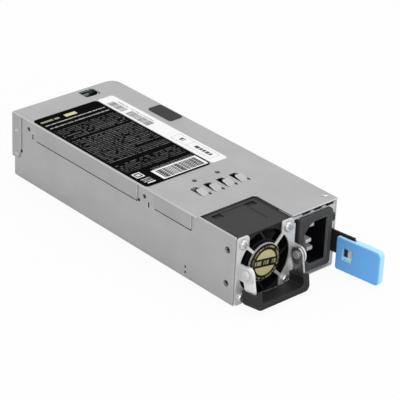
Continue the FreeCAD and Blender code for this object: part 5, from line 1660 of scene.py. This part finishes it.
@dataclass
class Studio:
    """Floor, world, lamps and camera."""

    camera_place: Rgb = (-0.6369547, -0.7177050, 0.5207973)
    right: Rgb = (0.7492465, -0.6610798, 0.0400387)
    down: Rgb = (-0.2837517, -0.3750448, -0.8825114)
    forward: Rgb = (0.5984268, 0.6498576, -0.4685835)
    lens: float = 178.609
    ambient: float = 0.75
    floor_half: float = 3.0
    floor_gap: float = 0.0002
    floor_glow: float = 0.93
    floor_mirror: float = 0.2
    lamp_aim: Rgb = (0.0, 0.0, 0.02)

    def floor(self) -> None:
        """A plain pale floor that shows near white and keeps a soft shadow."""
        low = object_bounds()[0].z - self.floor_gap
        corner = np.array([(-1.0, -1.0), (1.0, -1.0), (1.0, 1.0), (-1.0, 1.0)]) * self.floor_half
        mesh = bpy.data.meshes.new("floor")
        mesh.from_pydata(np.insert(corner, 2, low, 1).tolist(), [], [(0, 1, 2, 3)])
        made = bpy.data.objects.new("floor", mesh)
        bpy.context.scene.collection.objects.link(made)
        shader = Shader(bpy.data.materials.new("pale_floor"))
        paint = shader.node("ShaderNodeBsdfDiffuse", None, {"Color": grey(0.8)})
        glow = shader.node("ShaderNodeEmission", None, {"Color": grey(1.0)})
        mirrored = shader.paths("Is Glossy Ray", "Is Transmission Ray")
        share = shader.paths("Is Camera Ray") * self.floor_glow + mirrored * self.floor_mirror
        shader.close(shader.node("ShaderNodeMixShader", None, {0: share, 1: paint, 2: glow}))
        mesh.materials.append(shader.owner)
        made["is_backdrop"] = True

    def world(self) -> None:
        """White for the camera and for reflections, and softer as a light."""
        world = bpy.data.worlds.new("studio")
        bpy.context.scene.world = world
        shader = Shader(world)
        seen = shader.paths("Is Camera Ray", "Is Glossy Ray", "Is Transmission Ray")
        soft = shader.node("ShaderNodeBackground", None, {"Color": grey(1.0), "Strength": self.ambient})
        white = shader.node("ShaderNodeBackground", None, {"Color": grey(1.0), "Strength": 1.0})
        shader.close(shader.node("ShaderNodeMixShader", None, {0: seen, 1: soft, 2: white}))

    def lamp(self, name: str, place: Rgb, size: float, watts: float) -> None:
        """A square soft lamp that looks at the case's middle.

        Args:
            name: Its name.
            place: Where it stands.
            size: The length of its side.
            watts: Its power.
        """
        light = bpy.data.lights.new(name, "AREA")
        light.shape, light.size, light.energy = "SQUARE", size, watts
        made = bpy.data.objects.new(name, light)
        made.location = place
        aim = Vector(self.lamp_aim) - Vector(place)
        made.rotation_euler = aim.to_track_quat("-Z", "Y").to_euler()
        bpy.context.scene.collection.objects.link(made)

    def camera(self) -> None:
        """The camera by its three directions in the case's frame."""
        data = bpy.data.cameras.new("camera")
        data.lens, data.sensor_width = self.lens, 36.0
        data.clip_start, data.clip_end = 0.05, 20.0
        made = bpy.data.objects.new("camera", data)
        columns = (Vector(self.right), -Vector(self.down), -Vector(self.forward))
        turn = Matrix(columns).transposed().to_4x4()
        made.matrix_world = Matrix.Translation(self.camera_place) @ turn
        bpy.context.scene.collection.objects.link(made)
        bpy.context.scene.camera = made

    def build(self) -> None:
        """Set up the whole studio."""
        bpy.context.scene.view_settings.view_transform = "Standard"
        self.floor()
        self.world()
        self.lamp("key", (0.25, -0.1, 1.3), 0.9, 5.0)
        self.lamp("fill", (-0.7, -1.2, 0.7), 0.9, 5.0)
        self.camera()


def main() -> None:
    """Build each sub-assembly and the studio."""
    logging.basicConfig(level=logging.INFO, format="%(name)s: %(message)s")
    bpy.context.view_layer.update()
    for group in (Case(), SenseBoard(), FanBay(), Handle(), Inlet(), Latch(), Boards()):
        group.build()
    Studio().build()


if __name__ == "__main__":
    main()
